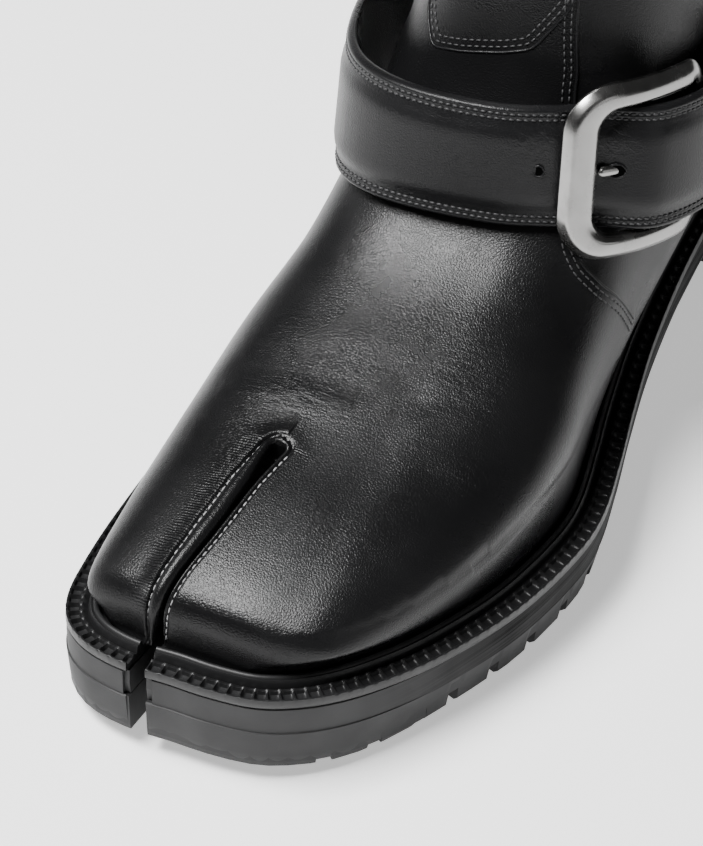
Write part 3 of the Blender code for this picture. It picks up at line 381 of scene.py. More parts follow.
def strap_axes():
    """The strap's ring: its middle, and its directions forwards, across to the outer side and up."""
    turn = Euler((math.radians(-STRAP_TILT), math.radians(-STRAP_ROLL), 0.0)).to_matrix()
    middle = Vector((STRAP_ACROSS, STRAP_ALONG - LENGTH / 2, STRAP_UP))
    return middle, turn @ Vector((0, -1, 0)), turn @ Vector((1, 0, 0)), turn @ Vector((0, 0, 1))


def strap_place(angle, height, reach):
    """A point round the ankle: angle in radians from the front towards the outer side."""
    middle, forward, outer, up = strap_axes()
    height += STRAP_REAR_RISE * smooth_step((abs(angle) - math.pi / 3) / (math.pi * 2 / 3))
    return middle + up * height + (forward * math.cos(angle) + outer * math.sin(angle)) * reach


def shaft_reach(tree, angle, height):
    """Distance from the strap's axis out to the upper's surface."""
    near = strap_place(angle, height, 0.0)
    far = strap_place(angle, height, LENGTH)
    hit = tree.ray_cast(far, (near - far).normalized())[0]
    return (hit - near).length


def standoff(angle):
    """How far the strap's upper edge stands off the shaft, most on the inner side of the instep."""
    turn = math.degrees(angle)
    return STRAP_STANDOFF * smooth_step((turn + 150) / 60) * smooth_step((60 - turn) / 60)


class Ring:
    """The ankle under the strap, measured once: places are given by length along it from the front."""

    def __init__(self, tree):
        self.angles = np.radians(np.linspace(-180, 180, 181))
        half = STRAP_WIDTH / 2
        rows = [[shaft_reach(tree, angle, height) for height in (-half, 0.0, half)] for angle in self.angles]
        low, middle, high = np.array(rows).T
        high += np.array([standoff(angle) for angle in self.angles])
        proud = np.maximum(0.0, middle - (low + high) / 2)
        self.low = self.smoothed(low + proud)
        self.high = self.smoothed(high + proud)
        reach = (self.low + self.high) / 2
        points = np.stack([reach * np.cos(self.angles), reach * np.sin(self.angles)], axis=1)
        walked = walk(points)
        self.walked = walked - np.interp(0.0, self.angles, walked)

    @staticmethod
    def smoothed(values):
        """Average with the neighbours, then raise the whole to stay outside the first values."""
        around = np.array([np.roll(values[:-1], step) for step in range(-3, 4)])
        even = np.append(around.mean(axis=0), around.mean(axis=0)[0])
        return even + max(0.0, (values - even).max())

    def place(self, along, height, away):
        angle = np.interp(along, self.walked, self.angles)
        share = height / STRAP_WIDTH + 0.5
        low = np.interp(angle, self.angles, self.low)
        high = np.interp(angle, self.angles, self.high)
        return strap_place(angle, height, low + (high - low) * share + away)


def buckle_lift(along):
    """How far the stiff frame keeps the leather off the ankle's curve at its pivot end."""
    rise = smooth_step((along - CLIMB_START) / (PIVOT_ALONG - CLIMB_START))
    return BUCKLE_LIFT * rise * smooth_step((PIVOT_ALONG + 40 * MM - along) / (34 * MM))


def strap_offset(along):
    """Height of the strap's inner face over the ankle: it climbs over the pivot, then lies on the anchor."""
    climb = smooth_step((along - CLIMB_START) / (CLIMB_END - CLIMB_START))
    fall = smooth_step((along - PIVOT_ALONG - 8 * MM) / (24 * MM))
    over_pivot = pivot_height() - BUCKLE_LIFT + PIVOT_RADIUS + HOOK_THICK + 2 * PIECE_GAP
    over_anchor = STRAP_GAP + ANCHOR_THICK + PIECE_GAP
    rise = (over_pivot - STRAP_GAP) * climb + (over_anchor - over_pivot) * fall
    return STRAP_GAP + rise + buckle_lift(along)


def pivot_height():
    return STRAP_GAP + ANCHOR_THICK + PIECE_GAP + PIVOT_RADIUS + BUCKLE_LIFT


def prong_path():
    """The prong lies under the strap at the pivot, comes up through the hole and ends on the front bar."""
    start = PIVOT_ALONG - PIVOT_RADIUS - 1.2 * MM
    tip = BUCKLE_FRONT + BUCKLE_FRONT_BAR + PIECE_GAP
    low = pivot_height()
    high = STRAP_GAP + STRAP_THICK + PIECE_GAP + PRONG_RADIUS
    shares = np.linspace(0, 1, 9)
    return [(start + (tip - start) * share, low + (high - low) * smooth_step(share)) for share in shares]


# The cleft in the leather: its dark line as distances from the toe and x, both in mm. The lines of its sewn
# edges and its half width are mm from it, by shares of the way to its end.
CLEFT_LINE = (
    (0, 12, 20.5, 26, 31, 38, 47, 54, 59, 63, 66, 100),
    (-25.8, -24.6, -23.0, -21.7, -20.6, -19.4, -18.3, -17.5, -16.8, -16.2, -15.7, -13.0),
)
CLEFT_END = 64.5 * MM
CLEFT_DEEP = 5.5 * MM
RING_SHARE = 0.93
MEDIAL_LINE = ((0.0, 0.15, 0.5, 0.75, 0.93), (2.8, 3.8, 5.2, 5.3, 4.3))
LATERAL_LINE = ((0.0, 0.3, 0.75, 0.93), (1.5, 1.6, 2.1, 3.4))
CLEFT_HALF = ((0.0, 0.06, 0.16, 0.62, 0.78, 0.88, 0.93), (1.1, 0.9, 0.34, 0.34, 0.7, 1.5, 1.7))

# Rows and columns of the leather's mesh, steps in mm from the cleft's line
ROWS_BETWEEN = (3, 3, 5, 7, 11, 15, 27, 27, 5) + (3,) * 19
LEFT_STEPS = np.array((
    0.2, 0.4, 0.6, 0.9, 1.2, 1.5, 1.8, 2.1, 2.4, 2.7, 3.0, 3.3, 3.55, 3.8, 4.05, 4.3, 4.6, 4.95, 5.4, 5.9,
    6.6, 7.6, 9.0,
))
RIGHT_STEPS = np.array((
    0.0, 0.2, 0.4, 0.6, 0.85, 1.1, 1.35, 1.6, 1.85, 2.1, 2.4, 2.7, 3.0, 3.3, 3.6, 4.0, 4.6, 5.5, 7.0, 9.0,
))
OPEN_STEP = 1.7
MEDIAL_COLUMNS = 24
LATERAL_COLUMNS = 46

# Seams, creases and stitches
SEAM_STEP = 0.45 * MM
SEAM = np.array((
    (43.4, -2.0, 48.0), (42.8, -5.1, 52.6), (42.1, -10.6, 61.7), (40.7, -12.9, 65.1), (38.3, -15.2, 69.0),
    (36.2, -15.7, 71.6), (33.9, -16.4, 74.3), (31.0, -15.0, 79.0), (28.0, -10.0, 88.0), (24.5, -2.0, 100.0),
    (21.0, 4.8, 111.6), (20.6, 6.6, 115.0), (20.0, 7.7, 118.1), (18.6, 10.0, 124.0), (17.0, 15.0, 140.0),
    (16.0, 20.0, 160.0), (16.0, 22.0, 185.0),
)) * MM
ARC = np.array((
    (-38.0, 40.0, 170.0), (-34.0, 18.0, 140.0), (-26.0, 7.0, 122.0), (-17.9, 3.0, 113.5), (-9.0, 2.2, 115.7),
    (2.0, 3.2, 118.5), (8.8, 4.1, 121.0), (18.0, 10.0, 134.0), (24.0, 20.0, 160.0),
)) * MM
BACK = np.array([(-2.0, 150.0, height) for height in (120, 140, 160, 180, 200, 222)]) * MM
COLLAR_ROWS = (224.5 * MM, 228 * MM)
LAID_STEP = 1.2 * MM
DASH_SIDES = 6
DASH_LIFT = 0.3
DASH_SECTIONS = (
    # share of the length, size and height as shares of the radius
    (0.0, 0.45, -0.5),
    (0.18, 0.95, 0.55),
    (0.5, 1.0, 1.0),
    (0.82, 0.95, 0.55),
    (1.0, 0.45, -0.5),
)
TUBE_SIDES = 8
PUCKER_PITCH = 0.8
FINE_CREASES = (
    # middle, reach across and along, strength
    ((-17.0, -78.0), (14.0, 5.0), 0.9),
    ((24.0, -56.0), (11.0, 13.0), 0.7),
    ((33.0, -80.0), (8.0, 4.5), 0.9),
    ((-30.0, -60.0), (8.0, 8.0), 0.4),
)
SOFT_TROUGHS = (
    # from, to, width, depth
    ((-6.0, -84.0), (32.0, -78.0), 17.0, 1.3),
    ((-36.0, -74.0), (-2.0, -70.0), 3.2, 0.35),
    ((-30.0, -67.0), (4.0, -62.0), 3.6, 0.25),
    ((14.0, -68.0), (38.0, -52.0), 3.4, 0.40),
    ((18.0, -58.0), (38.0, -42.0), 3.4, 0.30),
    ((24.0, -84.0), (40.0, -78.0), 2.6, 0.12),
)

# Materials
LEATHER_BLACK = (0.003, 0.003, 0.0032)
STRAP_BLACK = (0.004, 0.004, 0.0043)
LINING_BROWN = (0.09, 0.07, 0.055)
RUBBER_BLACK = (0.013, 0.013, 0.0134)
WELT_BLACK = (0.007, 0.007, 0.0073)
STEEL_GREY = (0.28, 0.277, 0.271)
# Near-black colour of the hole discs: painted shade standing in for the shade inside the strap's holes.
PAINTED_HOLE_SHADE = (0.0015, 0.0015, 0.0015)
THREAD_BLACK = (0.012, 0.012, 0.0125)
THREAD_GREY = (0.17, 0.17, 0.172)
LEATHER_SPECULAR = 0.22
RUBBER_SPECULAR = 0.28


def link(mat, a, b):
    mat.node_tree.links.new(a, b)


def node(mat, kind):
    return mat.node_tree.nodes.new(kind)


def shader(name, colour, roughness, metallic=0.0, specular=0.5):
    mat = bpy.data.materials.new(name)
    mat.use_nodes = True
    bsdf = mat.node_tree.nodes["Principled BSDF"]
    bsdf.inputs["Base Color"].default_value = (*colour, 1.0)
    bsdf.inputs["Roughness"].default_value = roughness
    bsdf.inputs["Metallic"].default_value = metallic
    bsdf.inputs["Specular IOR Level"].default_value = specular
    return mat, bsdf


def place_node(mat, scale=(1, 1, 1)):
    coords = node(mat, "ShaderNodeTexCoord")
    mapping = node(mat, "ShaderNodeMapping")
    mapping.inputs["Scale"].default_value = scale
    link(mat, coords.outputs["Object"], mapping.inputs["Vector"])
    return mapping.outputs["Vector"]


def noise(mat, vector, scale, detail=3.0, rough=0.55, distortion=0.0):
    made = node(mat, "ShaderNodeTexNoise")
    made.inputs["Scale"].default_value = scale
    made.inputs["Detail"].default_value = detail
    made.inputs["Roughness"].default_value = rough
    made.inputs["Distortion"].default_value = distortion
    link(mat, vector, made.inputs["Vector"])
    return made.outputs["Fac"]


def attribute(mat, name):
    """A value that the mesh carries at its points."""
    made = node(mat, "ShaderNodeAttribute")
    made.attribute_name = name
    return made.outputs["Fac"]


def shade(colour, factor):
    return tuple(factor * value for value in colour)


def ranged(mat, value, low, high, new_low, new_high):
    made = node(mat, "ShaderNodeMapRange")
    for key, number in (("From Min", low), ("From Max", high), ("To Min", new_low), ("To Max", new_high)):
        made.inputs[key].default_value = number
    link(mat, value, made.inputs["Value"])
    return made.outputs["Result"]


def maths(mat, operation, a, b):
    made = node(mat, "ShaderNodeMath")
    made.operation = operation
    for k, value in enumerate((a, b)):
        if isinstance(value, (int, float)):
            made.inputs[k].default_value = value
        else:
            link(mat, value, made.inputs[k])
    return made.outputs[0]


def bump(mat, height, strength, distance, normal=None):
    made = node(mat, "ShaderNodeBump")
    made.inputs["Strength"].default_value = strength
    made.inputs["Distance"].default_value = distance
    link(mat, height, made.inputs["Height"])
    if normal is not None:
        link(mat, normal, made.inputs["Normal"])
    return made.outputs["Normal"]


def mixed(mat, factor, low, high):
    made = node(mat, "ShaderNodeMix")
    made.data_type = "RGBA"
    made.inputs["A"].default_value = (*low, 1.0)
    made.inputs["B"].default_value = (*high, 1.0)
    link(mat, factor, made.inputs["Factor"])
    return made.outputs["Result"]


def leather(name, colour, roughness, wrinkled=True):
    """Smooth black leather: pores, a faint pebbled grain, fine wrinkles where the mesh says, satin gloss."""
    mat, bsdf = shader(name, colour, roughness, specular=LEATHER_SPECULAR)
    vector = place_node(mat)
    cells = node(mat, "ShaderNodeTexVoronoi")
    cells.feature = "DISTANCE_TO_EDGE"
    cells.inputs["Scale"].default_value = 1400.0
    link(mat, vector, cells.inputs["Vector"])
    grain = ranged(mat, cells.outputs["Distance"], 0.0, 0.25, 0.0, 1.0)
    normal = bump(mat, noise(mat, vector, 55.0, 3.0), 0.04, 0.0012)
    normal = bump(mat, grain, 0.22, 0.00014, normal)
    normal = bump(mat, noise(mat, vector, 2300.0, 2.0), 0.42, 0.00015, normal)
    if wrinkled:
        lines = noise(mat, place_node(mat, (0.3, 1.0, 0.7)), 850.0, 4.0, 0.6, 0.6)
        folded = maths(mat, "MULTIPLY", lines, attribute(mat, "crease"))
        normal = bump(mat, folded, 0.6, 0.0005, normal)
        wander = maths(mat, "MULTIPLY", noise(mat, vector, 260.0, 2.0), 9.0)
        turns = maths(mat, "MULTIPLY", attribute(mat, "along"), 2 * math.pi / PUCKER_PITCH)
        wave = maths(mat, "SINE", maths(mat, "ADD", turns, wander), 0.0)
        gathered = maths(mat, "MULTIPLY", wave, attribute(mat, "pucker"))
        normal = bump(mat, gathered, 0.55, 0.0002, normal)
    link(mat, normal, bsdf.inputs["Normal"])
    patches = noise(mat, vector, 38.0, 4.0)
    link(mat, ranged(mat, patches, 0.3, 0.7, roughness - 0.05, roughness + 0.08), bsdf.inputs["Roughness"])
    worn = ranged(mat, noise(mat, vector, 21.0), 0.35, 0.7, 0.0, 1.0)
    link(mat, mixed(mat, worn, colour, shade(colour, 1.7)), bsdf.inputs["Base Color"])
    return mat


def rubber(name, colour, roughness, streaks=0.0):
    """Moulded rubber: fine tooth, soft blotches, and drawn streaks along the outer side where wanted, where
    the colour is also darkened as painted shade.
    """
    mat, bsdf = shader(name, colour, roughness, specular=RUBBER_SPECULAR)
    vector = place_node(mat)
    normal = bump(mat, noise(mat, vector, 1900.0, 3.0), 0.12, 0.0002)
    normal = bump(mat, noise(mat, vector, 90.0, 3.0), 0.08, 0.0008, normal)
    blotches = ranged(mat, noise(mat, vector, 30.0, 3.0), 0.35, 0.7, 0.0, 1.0)
    tone = mixed(mat, blotches, colour, shade(colour, 1.6))
    if streaks:
        parts = node(mat, "ShaderNodeSeparateXYZ")
        link(mat, vector, parts.inputs[0])
        slanted = maths(mat, "ADD", parts.outputs["Y"], maths(mat, "MULTIPLY", parts.outputs["X"], 0.8))
        side = ranged(mat, slanted, -0.11, -0.05, 0.0, 1.0)
        lines = noise(mat, place_node(mat, (0.06, 0.06, 7.0)), 160.0, 3.0, 0.6)
        normal = bump(mat, maths(mat, "MULTIPLY", lines, side), streaks, 0.0005, normal)
        # Along the outer side the colour runs from 0.1 to 0.8 of the rubber's. This darkening is painted
        # shade; the streaks in it are the rubber's own.
        streaked_and_shaded = mixed(mat, ranged(mat, lines, 0.4, 0.62, 0.0, 1.0), shade(colour, 0.1), shade(colour, 0.8))
        darker = node(mat, "ShaderNodeMix")
        darker.data_type = "RGBA"
        for socket, value in (("Factor", side), ("A", tone), ("B", streaked_and_shaded)):
            link(mat, value, darker.inputs[socket])
        tone = darker.outputs["Result"]
        dull = maths(mat, "MULTIPLY", side, maths(mat, "SUBTRACT", 1.15, lines))
        link(mat, ranged(mat, dull, 0.0, 0.75, RUBBER_SPECULAR, 0.04), bsdf.inputs["Specular IOR Level"])
    link(mat, normal, bsdf.inputs["Normal"])
    link(mat, tone, bsdf.inputs["Base Color"])
    worn = ranged(mat, noise(mat, vector, 70.0), 0.3, 0.7, roughness - 0.06, roughness + 0.08)
    link(mat, worn, bsdf.inputs["Roughness"])
    return mat


def metal(name):
    mat, bsdf = shader(name, STEEL_GREY, 0.2, 1.0)
    vector = place_node(mat)
    normal = bump(mat, noise(mat, place_node(mat, (1, 1, 0.1)), 900.0, 2.0), 0.03, 0.0002)
    link(mat, bump(mat, noise(mat, vector, 120.0, 2.0), 0.03, 0.0006, normal), bsdf.inputs["Normal"])
    link(mat, ranged(mat, noise(mat, vector, 160.0, 4.0), 0.3, 0.75, 0.17, 0.33), bsdf.inputs["Roughness"])
    return mat


def thread(name, colour):
    mat, bsdf = shader(name, colour, 0.55)
    vector = place_node(mat)
    link(mat, bump(mat, noise(mat, vector, 4200.0, 2.0), 0.3, 0.0001), bsdf.inputs["Normal"])
    link(mat, mixed(mat, noise(mat, vector, 300.0), colour, shade(colour, 2)), bsdf.inputs["Base Color"])
    return mat


def made_piece(name, points, faces, slot, finish, replaces=(), attributes=None, sharp=None):
    mesh = bpy.data.meshes.new(name)
    mesh.from_pydata([tuple(p) for p in points], [], [tuple(f) for f in faces])
    mesh.materials.append(finish)
    for key, values in (attributes or {}).items():
        layer = mesh.attributes.new(key, "FLOAT", "POINT")
        layer.data.foreach_set("value", np.asarray(values, dtype=np.float32).ravel())
    mesh.shade_smooth()
    if sharp:
        mesh.set_sharp_from_angle(angle=math.radians(sharp))
    made = bpy.data.objects.new(name, mesh)
    bpy.context.scene.collection.objects.link(made)
    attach(made, "root")
    if replaces:
        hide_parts(*replaces)
    return made


def lattice_faces(rows, columns, first=0, loop=False, flip=False):
    faces = []
    for k in range(rows - 1):
        for j in range(columns if loop else columns - 1):
            after = (j + 1) % columns
            face = (first + k * columns + j, first + k * columns + after,
                    first + (k + 1) * columns + after, first + (k + 1) * columns + j)
            faces.append(face[::-1] if flip else face)
    return faces


def closed_loops(rows, count):
    """Faces of a tube of rows that each have count points, with a cap on both ends."""
    ends = [tuple(range(count))[::-1], tuple(range((rows - 1) * count, rows * count))]
    return lattice_faces(rows, count, loop=True) + ends


def no_creases(points, crease=None):
    """The values that the leather's material reads, for a piece without seams."""
    zero = np.zeros(len(points))
    return {"crease": zero if crease is None else crease, "pucker": zero, "along": zero}


def lattice_normals(grid):
    across = np.gradient(grid, axis=1)
    down = np.gradient(grid, axis=0)
    normals = np.cross(across, down)
    length = np.linalg.norm(normals, axis=2, keepdims=True)
    normals /= np.maximum(length, 1e-12)
    return normals


def vector_step(values):
    values = np.clip(values, 0.0, 1.0)
    return values * values * (3 - 2 * values)


# The upper
def column_offsets(path, opened):
    """Points of one section's columns, and each one's distance from the cleft's line."""
    walked = walk(path)
    gaps = np.array([x - cleft_x(min(y, 0.0)) for x, y, z in path])
    last = np.nonzero(gaps <= 0)[0][-1]
    share = -gaps[last] / (gaps[last + 1] - gaps[last])
    middle = walked[last] + (walked[last + 1] - walked[last]) * share
    left_steps = LEFT_STEPS + (np.arange(1, len(LEFT_STEPS) + 1) * OPEN_STEP - LEFT_STEPS) * opened
    right_steps = RIGHT_STEPS + (np.arange(len(RIGHT_STEPS)) * OPEN_STEP - RIGHT_STEPS) * opened
    left = middle - left_steps[::-1] * MM
    right = middle + right_steps * MM
    medial = np.linspace(0, left[0], MEDIAL_COLUMNS + 1)[:-1]
    lateral = np.linspace(right[-1], walked[-1], LATERAL_COLUMNS + 1)[1:]
    places = np.concatenate([medial, left, right, lateral])
    return at_places(places, walked, path), places - middle


def fine_grid():
    """Rows of points over the upper from toe to collar, and their distances from the cleft's line."""
    curve = feather()
    rows = section_rows()
    first_y = (rows[0][0] - 0.5) * LENGTH - 3 * MM
    found = [column_offsets(front_section(curve, first_y, 500), 0.0)]
    for row in rows:
        opened = smooth_step((row[2] * LENGTH - CLEFT_END - 6 * MM) / (0.25 * LENGTH))
        found.append(column_offsets(section(row, curve, 420), opened))
    grid = np.array([[held_in(point, curve) for point in line] for line, offsets in found])
    return grid, np.array([offsets for line, offsets in found])


def segment_gap(points, start, stop):
    start, stop = np.array(start) * MM, np.array(stop) * MM
    along = stop - start
    share = np.clip(((points - start) @ along) / (along @ along), 0, 1)
    return np.linalg.norm(points - start - share[..., None] * along, axis=-1)


def cleft_floor(normals, share):
    """From the skin to the cleft's bottom in each row: straight in, but backwards at the toe's front."""
    floor = []
    for normal, place in zip(normals, share):
        back = 1 - smooth_step((place - 0.05) / 0.2)
        floor.append(-normal * CLEFT_DEEP * (1 - back) + np.array((0.0, 11.0, -2.5)) * MM * back)
    return np.array(floor)[:, None, :]


def build_upper_skin(finish, lining):
    """Two sheets of leather. The outer has the cleft, its sewn rims, broad creases and the seam's step."""
    grid, across = fine_grid()
    normals = lattice_normals(grid)
    middle = MEDIAL_COLUMNS + len(LEFT_STEPS)
    if normals[len(grid) // 3][middle][2] < 0:
        normals = -normals
    line = grid[:, middle]
    walked = walk(line)
    end = np.interp(CLEFT_END - LENGTH / 2, line[:, 1], walked)
    share = walked / end
    floor = cleft_floor(normals[:, middle], share)
    beyond = np.maximum(0.0, share - RING_SHARE)[:, None] * end
    half = np.interp(share, *CLEFT_HALF)[:, None] * MM
    inner_side = across < 0
    lines = [np.interp(share, *line)[:, None] * MM for line in (MEDIAL_LINE, LATERAL_LINE)]
    edge = np.where(inner_side, *lines)
    reach = np.hypot(across, beyond)
    inside = (reach - half) / (edge - half)
    past = (reach - edge) / MM
    turned = vector_step(beyond / (2.0 * MM))
    fade = vector_step((1.35 - share[:, None]) / 0.3) * vector_step(share[:, None] / 0.04 + 0.3)

    dome = np.where((inside > 0) & (inside < 1), np.sin(np.pi * np.clip(inside, 0, 1)) ** 0.65, 0.0)
    height = np.where(inner_side, 1.5, 0.5) * (1 - turned) + 0.8 * turned
    trough = -0.65 * np.exp(-((past / 0.32) ** 2)) * np.where(inner_side, 1.0, 0.55 + 0.45 * turned)
    outside = np.where(past > 0, past, 0.0)
    rim = (1 - np.exp(-outside / 0.4)) * np.exp(-((outside / 3.4) ** 2)) * np.where(inner_side, 0.7, 0.25)
    raised = (height * dome + trough + rim) * fade * MM
    pressed = vector_step((half - reach) / (0.45 * MM) + 0.6) * (1 - vector_step(beyond / (1.6 * MM)))
    surface = grid + normals * raised[..., None] + floor * pressed[..., None]

    flat = grid + SHIFT
    for start, stop, width, depth in SOFT_TROUGHS:
        near = segment_gap(flat[..., :2], start, stop) / MM / width
        surface -= normals * (depth * MM * np.exp(-(near**2)) * (flat[..., 2] > 40 * MM))[..., None]
    seam_y = np.interp(flat[..., 2], SEAM[:, 2], SEAM[:, 1])
    beside_seam = (flat[..., 0] > 0) & (flat[..., 2] > 42 * MM) & (flat[..., 2] < 185 * MM)
    step = SEAM_STEP * vector_step((seam_y - flat[..., 1]) / (1.6 * MM) + 0.5) * beside_seam
    surface += normals * (step * vector_step((flat[..., 0] - 8 * MM) / (10 * MM)))[..., None]
    surface += SHIFT

    crease = np.zeros(across.shape)
    for (x, y), (reach_x, reach_y), strength in FINE_CREASES:
        bell = ((flat[..., 0] / MM - x) / reach_x) ** 2 + ((flat[..., 1] / MM - y) / reach_y) ** 2
        crease += strength * np.exp(-bell) * (flat[..., 2] > 45 * MM)
    outer_side = vector_step(across / (2.4 * MM) + 0.5) * (1 - turned)
    pucker = np.exp(-(((past - 1.6) / 2.8) ** 2)) * (past > 0) * (1 - outer_side) * fade
    pucker *= vector_step((share[:, None] - 0.1) / 0.2) * (1 - vector_step(beyond / (2.5 * MM)))

    wider = vector_step((half + 2.6 * MM - reach) / (1.2 * MM)) * (1 - vector_step(beyond / (3 * MM)))
    inner = flat - normals * WALL + floor * 1.35 * wider[..., None]
    rows, columns = across.shape
    count = rows * columns
    faces = lattice_faces(rows, columns) + lattice_faces(rows, columns, count, flip=True)
    sheet = len(faces) // 2
    top = count - columns
    for j in range(columns - 1):
        faces.append((top + j, top + j + 1, count + top + j + 1, count + top + j))
    along = np.repeat(walked / MM, columns)
    none = np.zeros(count)
    values = {
        "crease": np.concatenate([crease.ravel(), none]),
        "pucker": np.concatenate([pucker.ravel(), none]),
        "along": np.concatenate([along, along]),
    }
    points = np.concatenate([surface.reshape(-1, 3), inner.reshape(-1, 3)])
    skin = made_piece("upper_skin", points, faces, "black_leather", finish, ("upper",), values)
    skin.data.materials.append(lining)
    skin.data.polygons.foreach_set("material_index", [int(sheet <= k < 2 * sheet) for k in range(len(faces))])
    return skin, surface, across, share


def tree_of(mesh, shift=(0.0, 0.0, 0.0)):
    """A search tree of a mesh, moved back by shift."""
    corners = [vert.co - Vector(shift) for vert in mesh.vertices]
    return BVHTree.FromPolygons(corners, [tuple(face.vertices) for face in mesh.polygons])


def nearest(tree, spot):
    """(point, normal) of the surface nearest to a spot."""
    location, normal = tree.find_nearest(Vector(spot))[:2]
    return np.array(location), np.array(normal)


def dashes(paths, length, gap, radius):
    """Stitches along paths of (point, normal) pairs: small rounded bars, merged in one mesh."""
    points, faces = [], []
    for path in paths:
        spots = np.array([p for p, n in path], float)
        norms = np.array([n for p, n in path], float)
        walked = walk(spots)
        place = gap / 2
        while place + length < walked[-1]:
            start, stop = at_places(np.array((place, place + length)), walked, spots)
            up = at_places(place + length / 2, walked, norms)
            up /= np.linalg.norm(up)
            run = (stop - start) / np.linalg.norm(stop - start)
            side = np.cross(up, run)
            base = len(points)
            for t, size, high in DASH_SECTIONS:
                centre = start + (stop - start) * t + up * radius * high * DASH_LIFT
                for angle in np.arange(DASH_SIDES) * 2 * math.pi / DASH_SIDES:
                    points.append(centre + (side * math.cos(angle) + up * math.sin(angle)) * radius * size)
            faces += [tuple(base + k for k in face) for face in closed_loops(len(DASH_SECTIONS), DASH_SIDES)]
            place += length + gap
    return points, faces


def tube(path, radius):
    """A thin round roll along (point, normal) pairs, tapered at its ends."""
    points = []
    spots = np.array([p for p, n in path], float)
    for k, (spot, (_, up), run) in enumerate(zip(spots, path, np.gradient(spots, axis=0))):
        side = np.cross(up, run / np.linalg.norm(run))
        side /= np.linalg.norm(side)
        size = radius * min(1.0, (k + 0.3) / 2, (len(spots) - k - 0.7) / 2)
        for angle in np.arange(TUBE_SIDES) * 2 * math.pi / TUBE_SIDES:
            points.append(spot + side * math.cos(angle) * size + up * math.sin(angle) * size)
    return points, closed_loops(len(spots), TUBE_SIDES)


def laid_on(tree, points, shift_along=0.0):
    """(point, normal) pairs on the skin nearest to the points, moved sideways along the surface if wanted."""
    dense = []
    for a, b in zip(points, points[1:]):
        count = max(2, int(np.linalg.norm(np.array(b) - a) / LAID_STEP))
        dense += [a + (b - a) * t for t in np.arange(count) / count]
    dense.append(np.array(points[-1]))
    found = [nearest(tree, spot) for spot in dense]
    spots = np.array([spot for spot, normal in found])
    for _ in range(2):
        padded = np.vstack([spots[:1], spots, spots[-1:]])
        spots = (padded[:-2] + padded[1:-1] * 2 + padded[2:]) / 4
    moved = []
    for spot, (_, normal), run in zip(spots, found, np.gradient(spots, axis=0)):
        side = np.cross(normal, run / np.linalg.norm(run))
        moved.append(nearest(tree, spot + side * shift_along))
    return moved


# Welt, midsole and outsole walls
RIB_PITCH = 3.5 * MM
RIB_DEPTH = 1.05 * MM
SAMPLES = 8


def fine_outline(step):
    """The welt's outline in even steps, and how far along it each point lies."""
    dense = welt_outline(24)
    closed = np.vstack([dense, dense[:1]])
    walked = walk(closed)
    places = np.linspace(0, walked[-1], int(walked[-1] / step) + 1)[:-1]
    return at_places(places, walked, closed), places


def split_order(outline):
    """Order of the samples from the slit's outer side round the boot to its inner side."""
    front = [k for k, (x, y) in enumerate(outline)
             if y < -LENGTH / 2 + SLIT_LENGTH and abs(x - SLIT_ACROSS) < SLIT_WIDTH / 2 and x < 0]
    inside = np.zeros(len(outline), bool)
    inside[front] = True
    start = next(k for k in range(len(outline)) if inside[k - 1] and not inside[k])
    return [(start + k) % len(outline) for k in range(len(outline)) if not inside[(start + k) % len(outline)]]


def swept_wall(name, outline, section, slot, finish, replaces=(), sharp=40):
    """A wall along the outline, open at the slit. section(k) gives (distance inwards, height) pairs."""
    order = split_order(outline)
    count = len(section(order[0]))
    inward = inward_directions(outline)
    placed = []
    for k in order:
        for distance, height in section(k):
            x, y = outline[k] + inward[k] * distance
            placed.append((x + SHIFT[0], y + SHIFT[1], height + lift(y)))
    faces = lattice_faces(len(order), count, loop=True)
    faces.append(tuple(range(count)))
    faces.append(tuple(range((len(order) - 1) * count, len(order) * count))[::-1])
    return made_piece(name, placed, faces, slot, finish, replaces, sharp=sharp)


def build_welt_skin(finish):
    """The storm welt: ribs on the rail, a groove, a sewn ridge and the bead against the upper."""
    outline, places = fine_outline(RIB_PITCH / SAMPLES)
    top = welt_top()
    low = top - WELT_THICK

    def section_at(k):
        phase = (places[k] / RIB_PITCH) % 1.0
        ridge = smooth_step((0.30 - abs(phase - 0.5) * 2) / 0.22)
        pocket = 1.0 - ridge
        nub = 0.25 * MM * ridge
        out = welt_out(outline[k][1])
        bead = out - BEAD_GAP
        band = min(RIB_BAND, bead - 3.4 * MM)
        dip = RIB_DEPTH * pocket
        stitch = 0.3 * MM * math.cos(2 * math.pi * (phase - 0.5))
        return (
            # outer side of the rail
            (0.35 * MM, low), (0.0, low + 0.5 * MM), (0.1 * MM * pocket, top - 0.55 * MM),
            (0.12 * MM, top - 0.1 * MM),
            # ribs
            (0.4 * MM, top + nub * 0.4), (0.75 * MM, top - 0.1 * MM + nub * 0.6),
            (1.05 * MM, top - dip + nub), (band * 0.45, top - dip + nub),
            (band * 0.72, top - dip * 0.8 + nub),
            # sewn ridge and groove
            (band * 0.80, top + 0.1 * MM + stitch * 0.5), (band * 0.92, top + 0.15 * MM + stitch),
            (band * 1.02, top - 0.3 * MM), (bead - 2.5 * MM, top - GROOVE_DEPTH - 0.3 * MM),
            # bead
            (bead - 2.2 * MM, top + BEAD_RISE * 0.35), (bead - 1.7 * MM, top + BEAD_RISE * 0.72),
            (bead - 1.2 * MM, top + BEAD_RISE * 0.62), (bead - 0.9 * MM, top + BEAD_RISE * 0.85),
            (bead - 0.3 * MM, top + BEAD_RISE), (bead + 0.3 * MM, top + BEAD_RISE * 0.85),
            (bead + 0.7 * MM, top), (out + WELT_SEAT, top), (out + WELT_SEAT, low),
        )

    return swept_wall("welt_skin", outline, section_at, "welt_rubber", finish, ("welt",), sharp=55)


